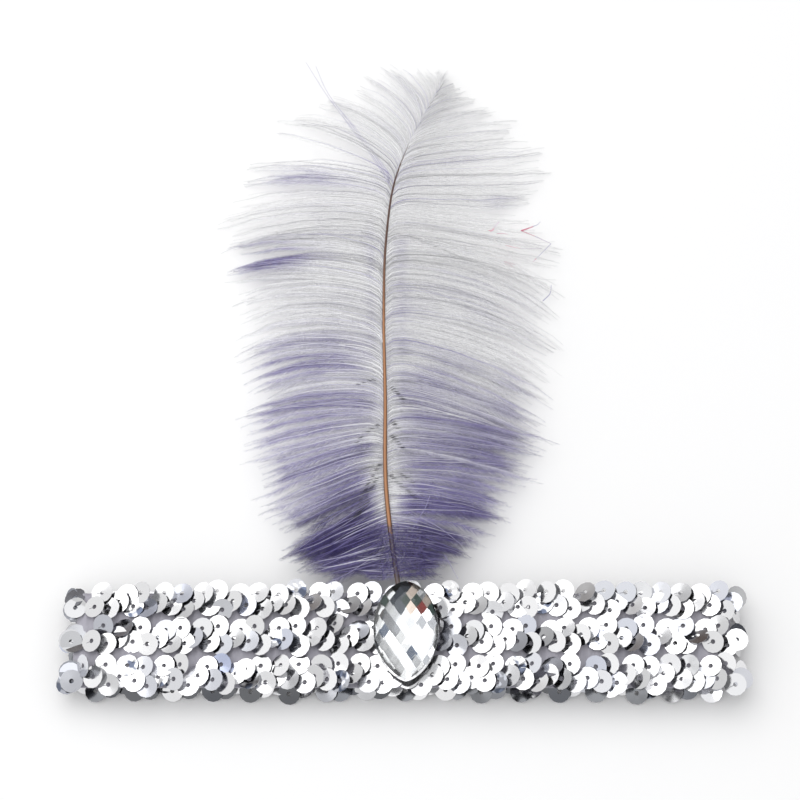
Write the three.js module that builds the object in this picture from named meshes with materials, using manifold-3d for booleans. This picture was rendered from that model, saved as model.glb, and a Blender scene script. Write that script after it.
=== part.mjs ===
// Sequin headband with a drop stone and an ostrich plume, lying flat with its front half over its back half.
// Millimetres. +X runs along the band, +Y the way the plume points, +Z up. The origin is on the floor,
// under the middle of the band.
import * as THREE from "three";
import { mergeVertices } from "three/addons/utils/BufferGeometryUtils.js";
import Module from "manifold-3d";

const wasm = await Module();
wasm.setup();

const FIT_GAP = 0.3; // air between neighbouring pieces

// Elastic loop
const BAND_WIDTH = 32;
const BAND_REACH = 102; // from the middle to the outside of either fold
const ELASTIC_THICKNESS = 1.2;
const LOOP_GAP = 5.4; // hollow between the two halves
const FOLD_SEGMENTS = 4; // each quarter turn has twice as many

// Sequin rows
const ROW_PITCH = 10.8;
const ROW_NAMES = ["bottom", "middle", "top"];
const EDGE_OVERHANG = 1; // sequins standing past the elastic's edges on the back half
const BED_WIDTH = 8.6;
const BED_THICKNESS = 0.5;
const BACK_DEPTH = 2.6; // height of the back half's sequins, squeezed on the floor
const SEQUIN_DIAMETER = 6.2;
const SEQUIN_SIDES = 10;
const CUP_DEPTH = 0.35;
const SEQUIN_THICKNESS = 0.25;
const SEQUIN_TILT = THREE.MathUtils.degToRad(25);
const SEQUIN_SINK = 0.2; // how far a sequin's low edge is stitched into the bed
const REPEAT_LENGTH = 11.77;
// One repeat of a row: where each sequin's low edge is stitched, along and across the row.
const REPEAT = [
  { along: 0.0, across: -1.2 },
  { along: 2.65, across: 2.1 },
  { along: 4.1, across: -2.1 },
  { along: 7.4, across: -0.3 },
  { along: 9.5, across: 1.2 },
];
// How far round each fold the front half's last sequins are stitched.
const LEFT_WRAP = THREE.MathUtils.degToRad(84);
const RIGHT_WRAP = THREE.MathUtils.degToRad(46);

// Drop stone
const GEM_WIDTH = 20;
const GEM_LENGTH = 31;
const GEM_CENTRE = { x: 0.9, y: 0.4 };
const GEM_SHARPNESS = { upper: 1.1, lower: 1.35 }; // 1 is an ellipse, more is a sharper end
const GEM_GIRDLE = 1.2; // straight edge below the facets
const GEM_CROWN = 5; // facets above the girdle
const GEM_CURVE_SEGMENTS = 10;
const FACET_STEP = { x: 2.7, y: 3.9 };
const FACET_REACH = 0.92; // share of the outline that the facet middles keep inside
const TABLE_DROP = 0.25; // how far the table is cut below the crown's peak
const GEM_SHADE_MARGIN = 1.5; // sequins this far inside the stone's edge are left out

// Plume
const QUILL_DIAMETER = 2.0;
const SHAFT_TIP_DIAMETER = 0.5;
const SHAFT_SIDES = 8;
const SHAFT_STEPS = 18;
// The shaft from the quill's end behind the stone to the plume's tip.
const SHAFT = [
  { x: 0.4, y: 4, z: 12.8 },
  { x: -1.6, y: 17, z: 12.8 },
  { x: -5.2, y: 46, z: 14.2 },
  { x: -5.7, y: 80, z: 14.0 },
  { x: -6.3, y: 110, z: 12.6 },
  { x: -5.5, y: 141, z: 10.2 },
  { x: -2.6, y: 164, z: 8.2 },
  { x: 4.2, y: 184, z: 6.2 },
  { x: 14.2, y: 206, z: 4.2 },
];
const BACKING_WIDTH = 2.6;
const BACKING_THICKNESS = 0.9;
const BACKING_STEPS = 16;
const VANE_START = 0.085; // share of the shaft where the first lock grows
const LOCKS_PER_SIDE = 19;
const LOCK_STEPS = 4;
const LOCK_FULLNESS = 0.88; // lock width against the room it has
const LOCK_ROOT = 0.2; // root width against the full width
const LOCK_SWELL = 0.8; // below 1, a lock is fullest before its middle
const LOCK_REACH = 0.92; // share of the swell's arch that is used before the tip
const LOCK_STAGGER = { left: 0.25, right: 0.75 }; // where the sides' locks start in each step
const LOCK_THICKNESS = 1.5;
const LOCK_SLIMNESS = 0.3; // most a lock's width may be against its length
const LOCK_RISE = 0.025; // share of its length that a lock bows upwards
const TIP_LOCK_LENGTH = 8;
// Locks at shares of the vane: lengths, mean lift from the band's direction, turn either side of that
// lift, and height of the tips. Angles are in degrees.
const VANE = [
  { at: 0.0, leftLength: 17, rightLength: 18, leftLift: 2, rightLift: 2, curl: 14, tipHeight: 9 },
  { at: 0.06, leftLength: 31, rightLength: 30, leftLift: -14, rightLift: -12, curl: 20, tipHeight: 7 },
  { at: 0.16, leftLength: 40, rightLength: 42, leftLift: -9, rightLift: -6, curl: 24, tipHeight: 5 },
  { at: 0.32, leftLength: 45, rightLength: 53, leftLift: -4, rightLift: -1, curl: 26, tipHeight: 4 },
  { at: 0.48, leftLength: 49, rightLength: 59, leftLift: 4, rightLift: 3, curl: 26, tipHeight: 3 },
  { at: 0.6, leftLength: 56, rightLength: 57, leftLift: 10, rightLift: 6, curl: 26, tipHeight: 2 },
  { at: 0.75, leftLength: 53, rightLength: 58, leftLift: 22, rightLift: 10, curl: 24, tipHeight: 0.6 },
  { at: 0.88, leftLength: 44, rightLength: 40, leftLift: 28, rightLift: 14, curl: 18, tipHeight: 0.3 },
  { at: 1.0, leftLength: 20, rightLength: 11, leftLift: 38, rightLift: 24, curl: 10, tipHeight: 0.3 },
];

// Heights and turns that follow from the sizes above
const FOLD_RADIUS = ELASTIC_THICKNESS + LOOP_GAP / 2;
const FOLD_LEVEL = BACK_DEPTH + FIT_GAP + FOLD_RADIUS;
const STRAIGHT_HALF = BAND_REACH - FOLD_RADIUS;
const BED_RADIUS = FOLD_RADIUS + FIT_GAP + BED_THICKNESS;
const BED_TOP = FOLD_LEVEL + BED_RADIUS;
const GEM_BASE = BED_TOP + FIT_GAP + QUILL_DIAMETER + FIT_GAP;
const SEQUIN_RADIUS = SEQUIN_DIAMETER / 2;

const MATERIALS = {
  elastic: new THREE.MeshStandardMaterial({ color: 0x9d97a8, roughness: 0.85, metalness: 0 }),
  sequin: new THREE.MeshStandardMaterial({ color: 0xd9dbe0, roughness: 0.2, metalness: 0.9 }),
  gem: new THREE.MeshStandardMaterial({ color: 0xe9eef0, roughness: 0.04, metalness: 0.1 }),
  shaft: new THREE.MeshStandardMaterial({ color: 0xa5693f, roughness: 0.5, metalness: 0 }),
  plume: new THREE.MeshStandardMaterial({ color: 0xb4aec8, roughness: 0.9, metalness: 0 }),
};

// A closed geometry as a solid that can be joined and cut.
function solidFrom(geometry) {
  const bare = geometry.clone();
  bare.deleteAttribute("normal");
  bare.deleteAttribute("uv");
  const merged = mergeVertices(bare, 1e-4);
  const corners = merged.index.array;
  const kept = [];
  for (let i = 0; i < corners.length; i += 3) {
    const [a, b, c] = corners.slice(i, i + 3);
    if (a !== b && b !== c && c !== a) kept.push(a, b, c);
  }
  return new wasm.Manifold(
    new wasm.Mesh({
      numProp: 3,
      vertProperties: new Float32Array(merged.attributes.position.array),
      triVerts: new Uint32Array(kept),
    }),
  );
}

function geometryFrom(solid) {
  const mesh = solid.getMesh();
  const geometry = new THREE.BufferGeometry();
  geometry.setAttribute("position", new THREE.BufferAttribute(mesh.vertProperties, 3));
  geometry.setIndex(new THREE.BufferAttribute(mesh.triVerts, 1));
  geometry.computeVertexNormals();
  return geometry;
}

function fused(geometries) {
  return geometryFrom(geometries.map(solidFrom).reduce((whole, next) => whole.add(next)));
}

// A wall drawn in X and Z from the fold level, drawn out along Y about the given middle.
function wallAlongBand(shape, width, middle) {
  const options = { depth: width, bevelEnabled: false, curveSegments: FOLD_SEGMENTS };
  return new THREE.ExtrudeGeometry(shape, options)
    .rotateX(Math.PI / 2)
    .translate(0, middle + width / 2, FOLD_LEVEL);
}

// Two straights and two round folds, at a distance from the loop's middle level.
function loopPath(path, radius) {
  path.moveTo(-STRAIGHT_HALF, -radius);
  path.lineTo(STRAIGHT_HALF, -radius);
  const quarter = Math.PI / 2;
  path.absarc(STRAIGHT_HALF, 0, radius, -quarter, 0);
  path.absarc(STRAIGHT_HALF, 0, radius, 0, quarter);
  path.absarc(-STRAIGHT_HALF, 0, radius, quarter, 2 * quarter);
  path.absarc(-STRAIGHT_HALF, 0, radius, 2 * quarter, 3 * quarter);
  return path;
}

// The upper half of a wall round the loop, ending just above the middle of each fold.
function halfLoop(inner, outer) {
  const end = FIT_GAP / 2 / inner;
  const quarter = Math.PI / 2;
  const shape = new THREE.Shape();
  shape.absarc(STRAIGHT_HALF, 0, outer, end, quarter);
  shape.absarc(-STRAIGHT_HALF, 0, outer, quarter, Math.PI - end);
  shape.absarc(-STRAIGHT_HALF, 0, inner, Math.PI - end, quarter, true);
  shape.absarc(STRAIGHT_HALF, 0, inner, quarter, end, true);
  shape.closePath();
  return shape;
}

function elasticBand() {
  const ring = loopPath(new THREE.Shape(), FOLD_RADIUS);
  ring.holes.push(loopPath(new THREE.Path(), FOLD_RADIUS - ELASTIC_THICKNESS));
  return wallAlongBand(ring, BAND_WIDTH, 0);
}

function rowMiddle(row) {
  return (row - (ROW_NAMES.length - 1) / 2) * ROW_PITCH;
}

// A back half's row: a plain strip with a flat underside, as deep as its squeezed sequins.
function sequinBackStrip(row) {
  const inner = FOLD_RADIUS + FIT_GAP;
  const outer = FOLD_LEVEL;
  const side = row - (ROW_NAMES.length - 1) / 2;
  const width = ROW_PITCH - FIT_GAP + Math.abs(side) * EDGE_OVERHANG;
  const strip = wallAlongBand(halfLoop(inner, outer), width, 0);
  strip.translate(0, 0, -FOLD_LEVEL).rotateY(Math.PI);
  return strip.translate(0, rowMiddle(row) + (side * EDGE_OVERHANG) / 2, FOLD_LEVEL);
}

// A shallow ten-sided cup with a sharp rim, its hollow facing +Z and one corner facing -X.
function sequinCup() {
  const profile = [
    new THREE.Vector2(0, -CUP_DEPTH - SEQUIN_THICKNESS),
    new THREE.Vector2(SEQUIN_RADIUS, 0),
    new THREE.Vector2(0, -CUP_DEPTH),
  ];
  return new THREE.LatheGeometry(profile, SEQUIN_SIDES).rotateX(Math.PI / 2).rotateZ(Math.PI / SEQUIN_SIDES);
}

// Place, direction along and direction out of the bed at a distance from the band's middle.
function bedFrame(distance) {
  const past = Math.max(Math.abs(distance) - STRAIGHT_HALF, 0);
  const turn = (Math.sign(distance) * past) / BED_RADIUS;
  const straight = THREE.MathUtils.clamp(distance, -STRAIGHT_HALF, STRAIGHT_HALF);
  const out = new THREE.Vector3(Math.sin(turn), 0, Math.cos(turn));
  const along = new THREE.Vector3(Math.cos(turn), 0, -Math.sin(turn));
  const place = new THREE.Vector3(straight, 0, FOLD_LEVEL).addScaledVector(out, BED_RADIUS);
  return { place, along, out };
}

// Half the stone's width at a distance above its middle.
function gemHalfWidth(y) {
  const share = Math.min(Math.abs(y) / (GEM_LENGTH / 2), 1);
  const sharpness = y < 0 ? GEM_SHARPNESS.lower : GEM_SHARPNESS.upper;
  return (GEM_WIDTH / 2) * Math.pow(1 - share * share, sharpness / 2);
}

function underGem(x, y) {
  const fromMiddle = y - GEM_CENTRE.y;
  return Math.abs(x - GEM_CENTRE.x) < gemHalfWidth(fromMiddle) - GEM_SHADE_MARGIN;
}

// One row of the front half: a thin stitched bed with a sequin at each place of the repeat.
function sequinRow(row) {
  const bed = wallAlongBand(halfLoop(BED_RADIUS - BED_THICKNESS, BED_RADIUS), BED_WIDTH, rowMiddle(row));
  const pieces = [bed];
  const last = STRAIGHT_HALF + BED_RADIUS * RIGHT_WRAP;
  const first = -STRAIGHT_HALF - BED_RADIUS * LEFT_WRAP;
  const repeats = Math.ceil(BAND_REACH / REPEAT_LENGTH) + 1;
  for (let repeat = -repeats; repeat <= repeats; repeat++) {
    for (const { along, across } of REPEAT) {
      const distance = repeat * REPEAT_LENGTH + along;
      if (distance < first || distance > last) continue;
      const bedAt = bedFrame(distance);
      const y = rowMiddle(row) + across;
      const uphill = bedAt.along.clone().applyAxisAngle(new THREE.Vector3(0, 1, 0), -SEQUIN_TILT);
      const face = bedAt.out.clone().applyAxisAngle(new THREE.Vector3(0, 1, 0), -SEQUIN_TILT);
      const turned = new THREE.Matrix4().makeBasis(uphill, new THREE.Vector3(0, 1, 0), face);
      const centre = bedAt.place.clone().addScaledVector(uphill, SEQUIN_RADIUS);
      centre.addScaledVector(bedAt.out, -SEQUIN_SINK);
      if (underGem(centre.x, y)) continue;
      pieces.push(sequinCup().applyMatrix4(turned).translate(centre.x, y, centre.z));
    }
  }
  return fused(pieces);
}

// The stone's outline: an oval whose lower end is drawn out to a softer point than its upper end.
function gemOutline() {
  const points = [];
  const steps = 4 * GEM_CURVE_SEGMENTS;
  for (let step = 0; step < steps; step++) {
    const angle = (step / steps) * Math.PI * 2;
    const y = (GEM_LENGTH / 2) * Math.sin(angle);
    points.push(new THREE.Vector2(Math.sign(Math.cos(angle)) * gemHalfWidth(y), y));
  }
  return new THREE.Shape(points);
}

// A block whose lower face passes through a point, square to a direction.
function blockAbove(point, direction) {
  const reach = GEM_LENGTH * 3;
  const turn = new THREE.Quaternion().setFromUnitVectors(new THREE.Vector3(0, 0, 1), direction);
  return new THREE.BoxGeometry(reach, reach, reach)
    .translate(0, 0, reach / 2)
    .applyQuaternion(turn)
    .translate(point.x, point.y, point.z);
}

// A flat-backed stone: facets in a diamond lattice touch a low dome, round a flat table.
function gem() {
  const half = { x: GEM_WIDTH / 2, y: GEM_LENGTH / 2 };
  const depth = GEM_GIRDLE + GEM_CROWN;
  let stone = solidFrom(new THREE.ExtrudeGeometry(gemOutline(), { depth, bevelEnabled: false }));
  const columns = Math.floor(half.x / FACET_STEP.x);
  const rows = Math.floor(half.y / FACET_STEP.y);
  for (let row = -rows; row <= rows; row++) {
    for (let column = -columns; column <= columns; column++) {
      if ((row + column) % 2 !== 0) continue;
      const point = new THREE.Vector3(column * FACET_STEP.x, row * FACET_STEP.y, 0);
      const reach = Math.hypot(point.x / half.x, point.y / half.y);
      if (reach > FACET_REACH) continue;
      const height = Math.sqrt(1 - reach * reach);
      const slope = new THREE.Vector3(
        point.x / half.x ** 2,
        point.y / half.y ** 2,
        height / GEM_CROWN,
      ).normalize();
      point.z = GEM_GIRDLE + GEM_CROWN * height - (reach === 0 ? TABLE_DROP : 0);
      stone = stone.subtract(solidFrom(blockAbove(point, slope)));
    }
  }
  return geometryFrom(stone).translate(GEM_CENTRE.x, GEM_CENTRE.y, GEM_BASE);
}

// A closed rod along a curve, with its own width and height at each share of the way.
function sweptForm(curve, steps, sides, sizeAt) {
  const rod = new THREE.CylinderGeometry(0.5, 0.5, 1, sides, steps);
  const position = rod.attributes.position;
  const up = new THREE.Vector3(0, 0, 1);
  for (let i = 0; i < position.count; i++) {
    const share = position.getY(i) + 0.5;
    const along = curve.getTangentAt(share);
    const across = along.clone().cross(up).normalize();
    const over = across.clone().cross(along);
    const { width, height } = sizeAt(share);
    const point = curve
      .getPointAt(share)
      .addScaledVector(across, position.getX(i) * width)
      .addScaledVector(over, position.getZ(i) * height);
    position.setXYZ(i, point.x, point.y, point.z);
  }
  return rod;
}

const shaftCurve = new THREE.CatmullRomCurve3(SHAFT.map(({ x, y, z }) => new THREE.Vector3(x, y, z)));

function shaftDiameter(share) {
  return THREE.MathUtils.lerp(QUILL_DIAMETER, SHAFT_TIP_DIAMETER, share);
}

function featherShaft() {
  const round = (share) => ({ width: shaftDiameter(share), height: shaftDiameter(share) });
  return geometryFrom(solidFrom(sweptForm(shaftCurve, SHAFT_STEPS, SHAFT_SIDES, round)));
}

// A column of the vane's table, read between its rows.
function vaneValue(column, at) {
  const upper = Math.max(VANE.findIndex((row) => row.at >= at), 1);
  const [before, after] = [VANE[upper - 1], VANE[upper]];
  return THREE.MathUtils.mapLinear(at, before.at, after.at, before[column], after[column]);
}

// The middle of the backing, just clear below the shaft.
function backingPoint(share) {
  const drop = shaftDiameter(share) / 2 + FIT_GAP + BACKING_THICKNESS / 2;
  return shaftCurve.getPointAt(share).sub(new THREE.Vector3(0, 0, drop));
}

function vaneShare(at) {
  return THREE.MathUtils.lerp(VANE_START, 1, at);
}

// A lock leaves the backing, bows over and droops: slim at its root, full in the middle, pointed at its tip.
function lockAlong(curve, room) {
  const full = Math.min(room * LOCK_FULLNESS, curve.getLength() * LOCK_SLIMNESS);
  const arch = (share) => Math.sin(Math.PI * LOCK_REACH * share ** LOCK_SWELL);
  return sweptForm(curve, LOCK_STEPS, 4, (share) => ({
    width: full * THREE.MathUtils.lerp(LOCK_ROOT, 1, arch(share)),
    height: THREE.MathUtils.lerp(BACKING_THICKNESS, LOCK_THICKNESS, Math.sin(Math.PI * share)),
  }));
}

function sideLock(side, at, room) {
  const sideName = side < 0 ? "left" : "right";
  const root = backingPoint(vaneShare(at));
  root.x += (side * BACKING_WIDTH) / 4;
  const length = vaneValue(sideName + "Length", at);
  const lift = THREE.MathUtils.degToRad(vaneValue(sideName + "Lift", at));
  const curl = THREE.MathUtils.degToRad(vaneValue("curl", at));
  const heading = (angle) => new THREE.Vector3(side * Math.cos(angle), Math.sin(angle), 0);
  const bow = root.clone().addScaledVector(heading(lift + curl), length / 2);
  const tip = bow.clone().addScaledVector(heading(lift - curl), length / 2);
  bow.z = root.z + length * LOCK_RISE;
  tip.z = Math.max(vaneValue("tipHeight", at), BACKING_THICKNESS / 2);
  const slant = heading(lift + curl / 2).cross(shaftCurve.getTangentAt(vaneShare(at))).length();
  return lockAlong(new THREE.QuadraticBezierCurve3(root, bow, tip), room * slant);
}

function tipLock(room) {
  const root = backingPoint(vaneShare(1));
  const tip = root.clone().addScaledVector(shaftCurve.getTangentAt(1), TIP_LOCK_LENGTH);
  return lockAlong(new THREE.LineCurve3(root, tip), room);
}

function plume() {
  const points = [];
  for (let step = 0; step <= BACKING_STEPS; step++) points.push(backingPoint(vaneShare(step / BACKING_STEPS)));
  const backingCurve = new THREE.CatmullRomCurve3(points);
  const backing = sweptForm(backingCurve, BACKING_STEPS, 4, () => ({
    width: BACKING_WIDTH,
    height: BACKING_THICKNESS,
  }));
  const room = backingCurve.getLength() / LOCKS_PER_SIDE;
  const locks = [tipLock(room)];
  for (const side of [-1, 1]) {
    for (let lock = 0; lock < LOCKS_PER_SIDE; lock++) {
      const stagger = side < 0 ? LOCK_STAGGER.left : LOCK_STAGGER.right;
      locks.push(sideLock(side, (lock + stagger) / LOCKS_PER_SIDE, room));
    }
  }
  return fused([backing, ...locks]);
}

const headband = new THREE.Group();

function addPiece(name, geometry, material) {
  const mesh = new THREE.Mesh(geometry, material);
  mesh.name = name;
  headband.add(mesh);
}

addPiece("elastic_band", elasticBand(), MATERIALS.elastic);
ROW_NAMES.forEach((name, row) => {
  addPiece("sequin_row_" + name, sequinRow(row), MATERIALS.sequin);
  addPiece("sequin_back_" + name, sequinBackStrip(row), MATERIALS.sequin);
});
addPiece("gem", gem(), MATERIALS.gem);
addPiece("feather_shaft", featherShaft(), MATERIALS.shaft);
addPiece("plume", plume(), MATERIALS.plume);

export default headband;
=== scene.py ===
"""A sequin headband with a drop stone and an ostrich plume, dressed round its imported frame.

The frame gives the loop's size and the places of the stone, the shaft and the plume. Every piece is made in
metres in the frame's axes: X along the band, Y towards the plume's tip and Z up from the floor.
"""

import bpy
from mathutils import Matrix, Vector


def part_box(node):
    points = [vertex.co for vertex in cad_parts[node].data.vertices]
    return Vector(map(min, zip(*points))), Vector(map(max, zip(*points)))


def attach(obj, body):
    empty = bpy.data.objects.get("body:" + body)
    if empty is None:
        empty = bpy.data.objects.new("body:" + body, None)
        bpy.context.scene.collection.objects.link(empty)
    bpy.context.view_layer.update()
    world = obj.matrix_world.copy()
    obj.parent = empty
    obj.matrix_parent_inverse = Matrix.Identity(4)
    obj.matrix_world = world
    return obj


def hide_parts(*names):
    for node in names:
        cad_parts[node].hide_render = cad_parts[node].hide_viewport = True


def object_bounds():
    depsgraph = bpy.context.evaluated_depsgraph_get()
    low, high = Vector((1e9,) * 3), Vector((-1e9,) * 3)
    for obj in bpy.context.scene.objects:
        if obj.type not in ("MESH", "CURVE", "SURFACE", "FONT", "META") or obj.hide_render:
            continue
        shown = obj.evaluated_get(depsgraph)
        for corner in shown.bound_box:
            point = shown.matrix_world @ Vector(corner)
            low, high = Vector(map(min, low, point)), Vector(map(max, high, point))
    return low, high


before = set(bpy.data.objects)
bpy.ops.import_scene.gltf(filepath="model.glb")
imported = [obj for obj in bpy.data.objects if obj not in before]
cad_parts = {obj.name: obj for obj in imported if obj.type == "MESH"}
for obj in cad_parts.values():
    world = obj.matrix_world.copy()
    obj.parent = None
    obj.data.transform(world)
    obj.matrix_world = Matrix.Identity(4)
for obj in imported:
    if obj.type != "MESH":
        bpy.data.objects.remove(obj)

import copy
import math

import bmesh
import bpy
import numpy as np
from bpy.props import FloatProperty, FloatVectorProperty, IntProperty, PointerProperty
from mathutils import Matrix, Vector

bl_info = {
    "name": "Sequin headband",
    "version": (1, 0, 0),
    "blender": (4, 5, 0),
    "location": "View3D > Sidebar > Headband",
    "description": "Makes a sequin headband's elastic, sequins, stone and plume round its frame",
    "category": "Add Mesh",
}

MM = 0.001
CAD_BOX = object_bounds()

# The loop lies pressed flat: two straight halves joined by a half-round fold at each end.
ELASTIC_LOW, ELASTIC_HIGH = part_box("elastic_band")
BAND_WIDTH = ELASTIC_HIGH.y - ELASTIC_LOW.y
FOLD_RADIUS = (ELASTIC_HIGH.z - ELASTIC_LOW.z) / 2
FOLD_LEVEL = (ELASTIC_HIGH.z + ELASTIC_LOW.z) / 2
FOLD_LENGTH = math.pi * FOLD_RADIUS
STRAIGHT_HALF = (ELASTIC_HIGH.x - ELASTIC_LOW.x) / 2 - FOLD_RADIUS
LOOP_LENGTH = 4 * STRAIGHT_HALF + 2 * FOLD_LENGTH
STONE_LOW, STONE_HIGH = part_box("gem")
STONE_MIDDLE = (STONE_LOW + STONE_HIGH) / 2
ROWS = ("top", "middle", "bottom")

# One repeat of a sequin row: share of the repeat's length, place across the row in mm.
SEQUIN_REPEAT = ((0.0, -1.8), (0.225, 2.9), (0.348, -3.0), (0.629, -0.5), (0.807, 2.2))
REPEATS = 35

# The shaft's middle line in mm, from the quill behind the stone to the tip: x, y, z.
SHAFT_LINE = (
    (0.4, 4.0, 12.8),
    (-1.6, 17.0, 12.8),
    (-5.2, 46.0, 14.2),
    (-5.7, 80.0, 14.0),
    (-6.3, 110.0, 12.6),
    (-5.5, 141.0, 10.2),
    (-2.6, 164.0, 8.2),
    (4.2, 184.0, 6.2),
    (14.2, 206.0, 4.2),
)
# The vane from its base to its tip: share, barb length left and right in mm, rise and curl left and right in
# degrees, tip height in mm, dye depth left and right, half the width of a barb's down in mm, and how much the
# down covers.
VANE_COLUMNS = ("share", "long_l", "long_r", "rise_l", "rise_r", "curl_l", "curl_r", "tip", "dye_l", "dye_r",
                "wide", "cover")
VANE_ROWS = (
    (0.000, 13, 12, 8, 8, -3, 2, 12.5, 0.95, 0.90, 1.7, 0.95),
    (0.040, 20, 15.5, -10, -8, -3, 4, 11.0, 1.00, 0.74, 1.9, 0.95),
    (0.080, 27, 24.5, -19, -10, -4, 6, 9.0, 1.00, 0.72, 2.2, 0.95),
    (0.120, 33, 33, -24, -8.5, -4, 6, 7.5, 0.95, 0.74, 2.2, 0.95),
    (0.160, 36, 40, -23, -5.5, -4, 6, 6.5, 0.84, 0.62, 2.0, 0.93),
    (0.200, 39, 43, -19, -4, -3, 4, 5.5, 0.64, 0.47, 1.5, 0.90),
    (0.240, 41, 47, -12, -6, -2, 2, 5.0, 0.46, 0.45, 1.4, 0.85),
    (0.280, 44.5, 49, -5, -11, 8, 3, 4.5, 0.56, 0.43, 1.4, 0.80),
    (0.360, 47, 52, -5, -19, 17, 4, 4.0, 0.43, 0.3, 1.3, 0.75),
    (0.400, 48, 53.5, -5, -19, 19, 7, 3.7, 0.18, 0.23, 1.3, 0.74),
    (0.440, 49, 55, -6, -19, 21, 10, 3.4, 0.04, 0.12, 1.3, 0.72),
    (0.520, 49, 57, 4, -20, 11, 15, 2.7, 0.09, 0.09, 1.2, 0.68),
    (0.600, 55, 58, -2, -18, 12, 16, 2.0, 0.09, 0.08, 1.2, 0.64),
    (0.640, 54, 56, -5, -5, 11, -8, 1.6, 0.08, 0.08, 1.2, 0.54),
    (0.680, 54, 52, -3, 4, 8, -12, 1.2, 0.06, 0.06, 1.2, 0.50),
    (0.745, 52, 53, 11, 10, 7, -8, 0.8, 0.10, 0.05, 1.2, 0.42),
    (0.760, 49, 51, 24, 11, 14, -7, 0.6, 0.05, 0.05, 1.2, 0.40),
    (0.800, 42, 44, 33, 14, 13, -3, 0.6, 0.03, 0.03, 1.2, 0.36),
    (0.840, 37, 36, 42, 18, 10, 3, 0.6, 0.03, 0.03, 1.1, 0.32),
    (0.880, 30, 25, 50, 24, 9, 6, 0.6, 0.03, 0.03, 1.1, 0.26),
    (0.920, 22, 18, 57, 30, 6, 3, 0.8, 0.03, 0.03, 1.0, 0.20),
    (0.960, 13, 11, 62, 42, 3, -4, 1.2, 0.03, 0.03, 1.0, 0.16),
    (1.000, 7, 7, 66, 60, 0, 0, 2.0, 0.05, 0.05, 0.9, 0.14),
)
VANE = dict(zip(VANE_COLUMNS, np.array(VANE_ROWS, float).T))
# Where along the shaft the vane starts.
VANE_START = 0.07
# How many fine steps stand behind each step of a smooth line.
FINE_STEPS = 40


def length(name, description, millimetres, lowest=0.0):
    """A length property whose default is given in millimetres."""
    return FloatProperty(name=name, description=description, default=millimetres * MM, min=lowest,
                         unit="LENGTH", precision=5)


def angle(name, description, degrees):
    """An angle property whose default is given in degrees."""
    return FloatProperty(name=name, description=description, default=math.radians(degrees), subtype="ANGLE")


def amount(name, description, default):
    """A plain factor."""
    return FloatProperty(name=name, description=description, default=default)


def colour(name, description, default):
    """A linear colour property."""
    return FloatVectorProperty(name=name, description=description, default=default, size=3, min=0, max=1,
                               subtype="COLOR")


class StageSettings(bpy.types.PropertyGroup):
    """Camera, light and floor."""

    lens: amount("Lens", "Focal length on a 36 mm sensor, in mm", 85.0)
    elevation: angle("Elevation", "Camera's angle above the floor", 66.0)
    aim_x: length("Aim X", "Point on the floor that the camera looks at", -0.9, lowest=-1.0)
    aim_y: length("Aim Y", "Point on the floor that the camera looks at", 84.7, lowest=-1.0)
    distance: length("Distance", "From the camera to its aim", 626.6)
    floor: colour("Floor", "Colour of the floor", (0.9, 0.9, 0.9))
    key_power: FloatProperty(name="Key power", description="Power of the large soft light", default=5.0,
                             unit="POWER")


class ElasticSettings(bpy.types.PropertyGroup):
    """The elastic loop."""

    thickness: length("Thickness", "Thickness of the elastic", 1.2)
    drawn_in: length("Drawn in", "How far the stitching draws each edge in", 1.9)
    pleat_pitch: length("Pleat pitch", "Distance between the gathers", 2.6)
    pleat_depth: length("Pleat depth", "How far a gather stands in from the surface", 0.35)
    # The ground colour and the lighter rib colour are one elastic, painted as shaded grooves and lit raised
    # ribs.
    colour: colour("Colour", "Colour of the elastic", (0.34, 0.33, 0.38))
    lit_rib: colour("Rib", "Colour of the raised ribs", (0.6, 0.59, 0.64))


class SequinSettings(bpy.types.PropertyGroup):
    """The cup sequins and their thread."""

    diameter: length("Diameter", "Diameter of a sequin", 7.0)
    hole: length("Hole", "Diameter of the stitching hole", 1.45)
    cup: length("Cup", "How far the rim stands above the hole", 0.1)
    thickness: length("Thickness", "Thickness of the film", 0.16)
    tilt: angle("Tilt", "How far a sequin's free edge is raised", 25.0)
    silver: colour("Silver", "Colour of most sequins", (0.84, 0.84, 0.85))
    blue: colour("Blue", "Colour of the blue sequins", (0.42, 0.46, 0.6))
    fleck: colour("Fleck", "Colour of the dark patches", (0.12, 0.14, 0.2))
    # Dark end of the film's brightness mix: a plain darker back, and painted shade on undersides and fold
    # sequins.
    dull_and_shade: colour("Dull", "Colour of the film's dull underside", (0.05, 0.055, 0.065))
    # The thread is kept dark partly as painted shadow at each stitch hole.
    thread: colour("Thread", "Colour of the thread", (0.3, 0.3, 0.33))


class StoneSettings(bpy.types.PropertyGroup):
    """The drop stone."""

    edge: length("Edge", "Width of the worn edge between two facets", 0.07)
    clear: colour("Clear", "Colour of the clear stone", (0.97, 0.98, 0.98))


class ShaftSettings(bpy.types.PropertyGroup):
    """The plume's shaft."""

    quill: length("Quill", "Diameter at the stone", 1.75)
    tip: length("Tip", "Diameter at the plume's tip", 0.35)
    brown: colour("Brown", "Colour of the bare shaft", (0.4, 0.18, 0.075))
    dark: colour("Dark", "Colour of the upper shaft", (0.1, 0.05, 0.038))
    base: colour("Base", "Colour of the quill", (0.13, 0.1, 0.095))
    # Painted shade: the colour of the shaft where it faces aside from the light above.
    edge: colour("Edge", "Colour of the shaft's sides", (0.07, 0.035, 0.02))
    end: colour("End", "Colour of the shaft's pale end", (0.55, 0.53, 0.53))


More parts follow.
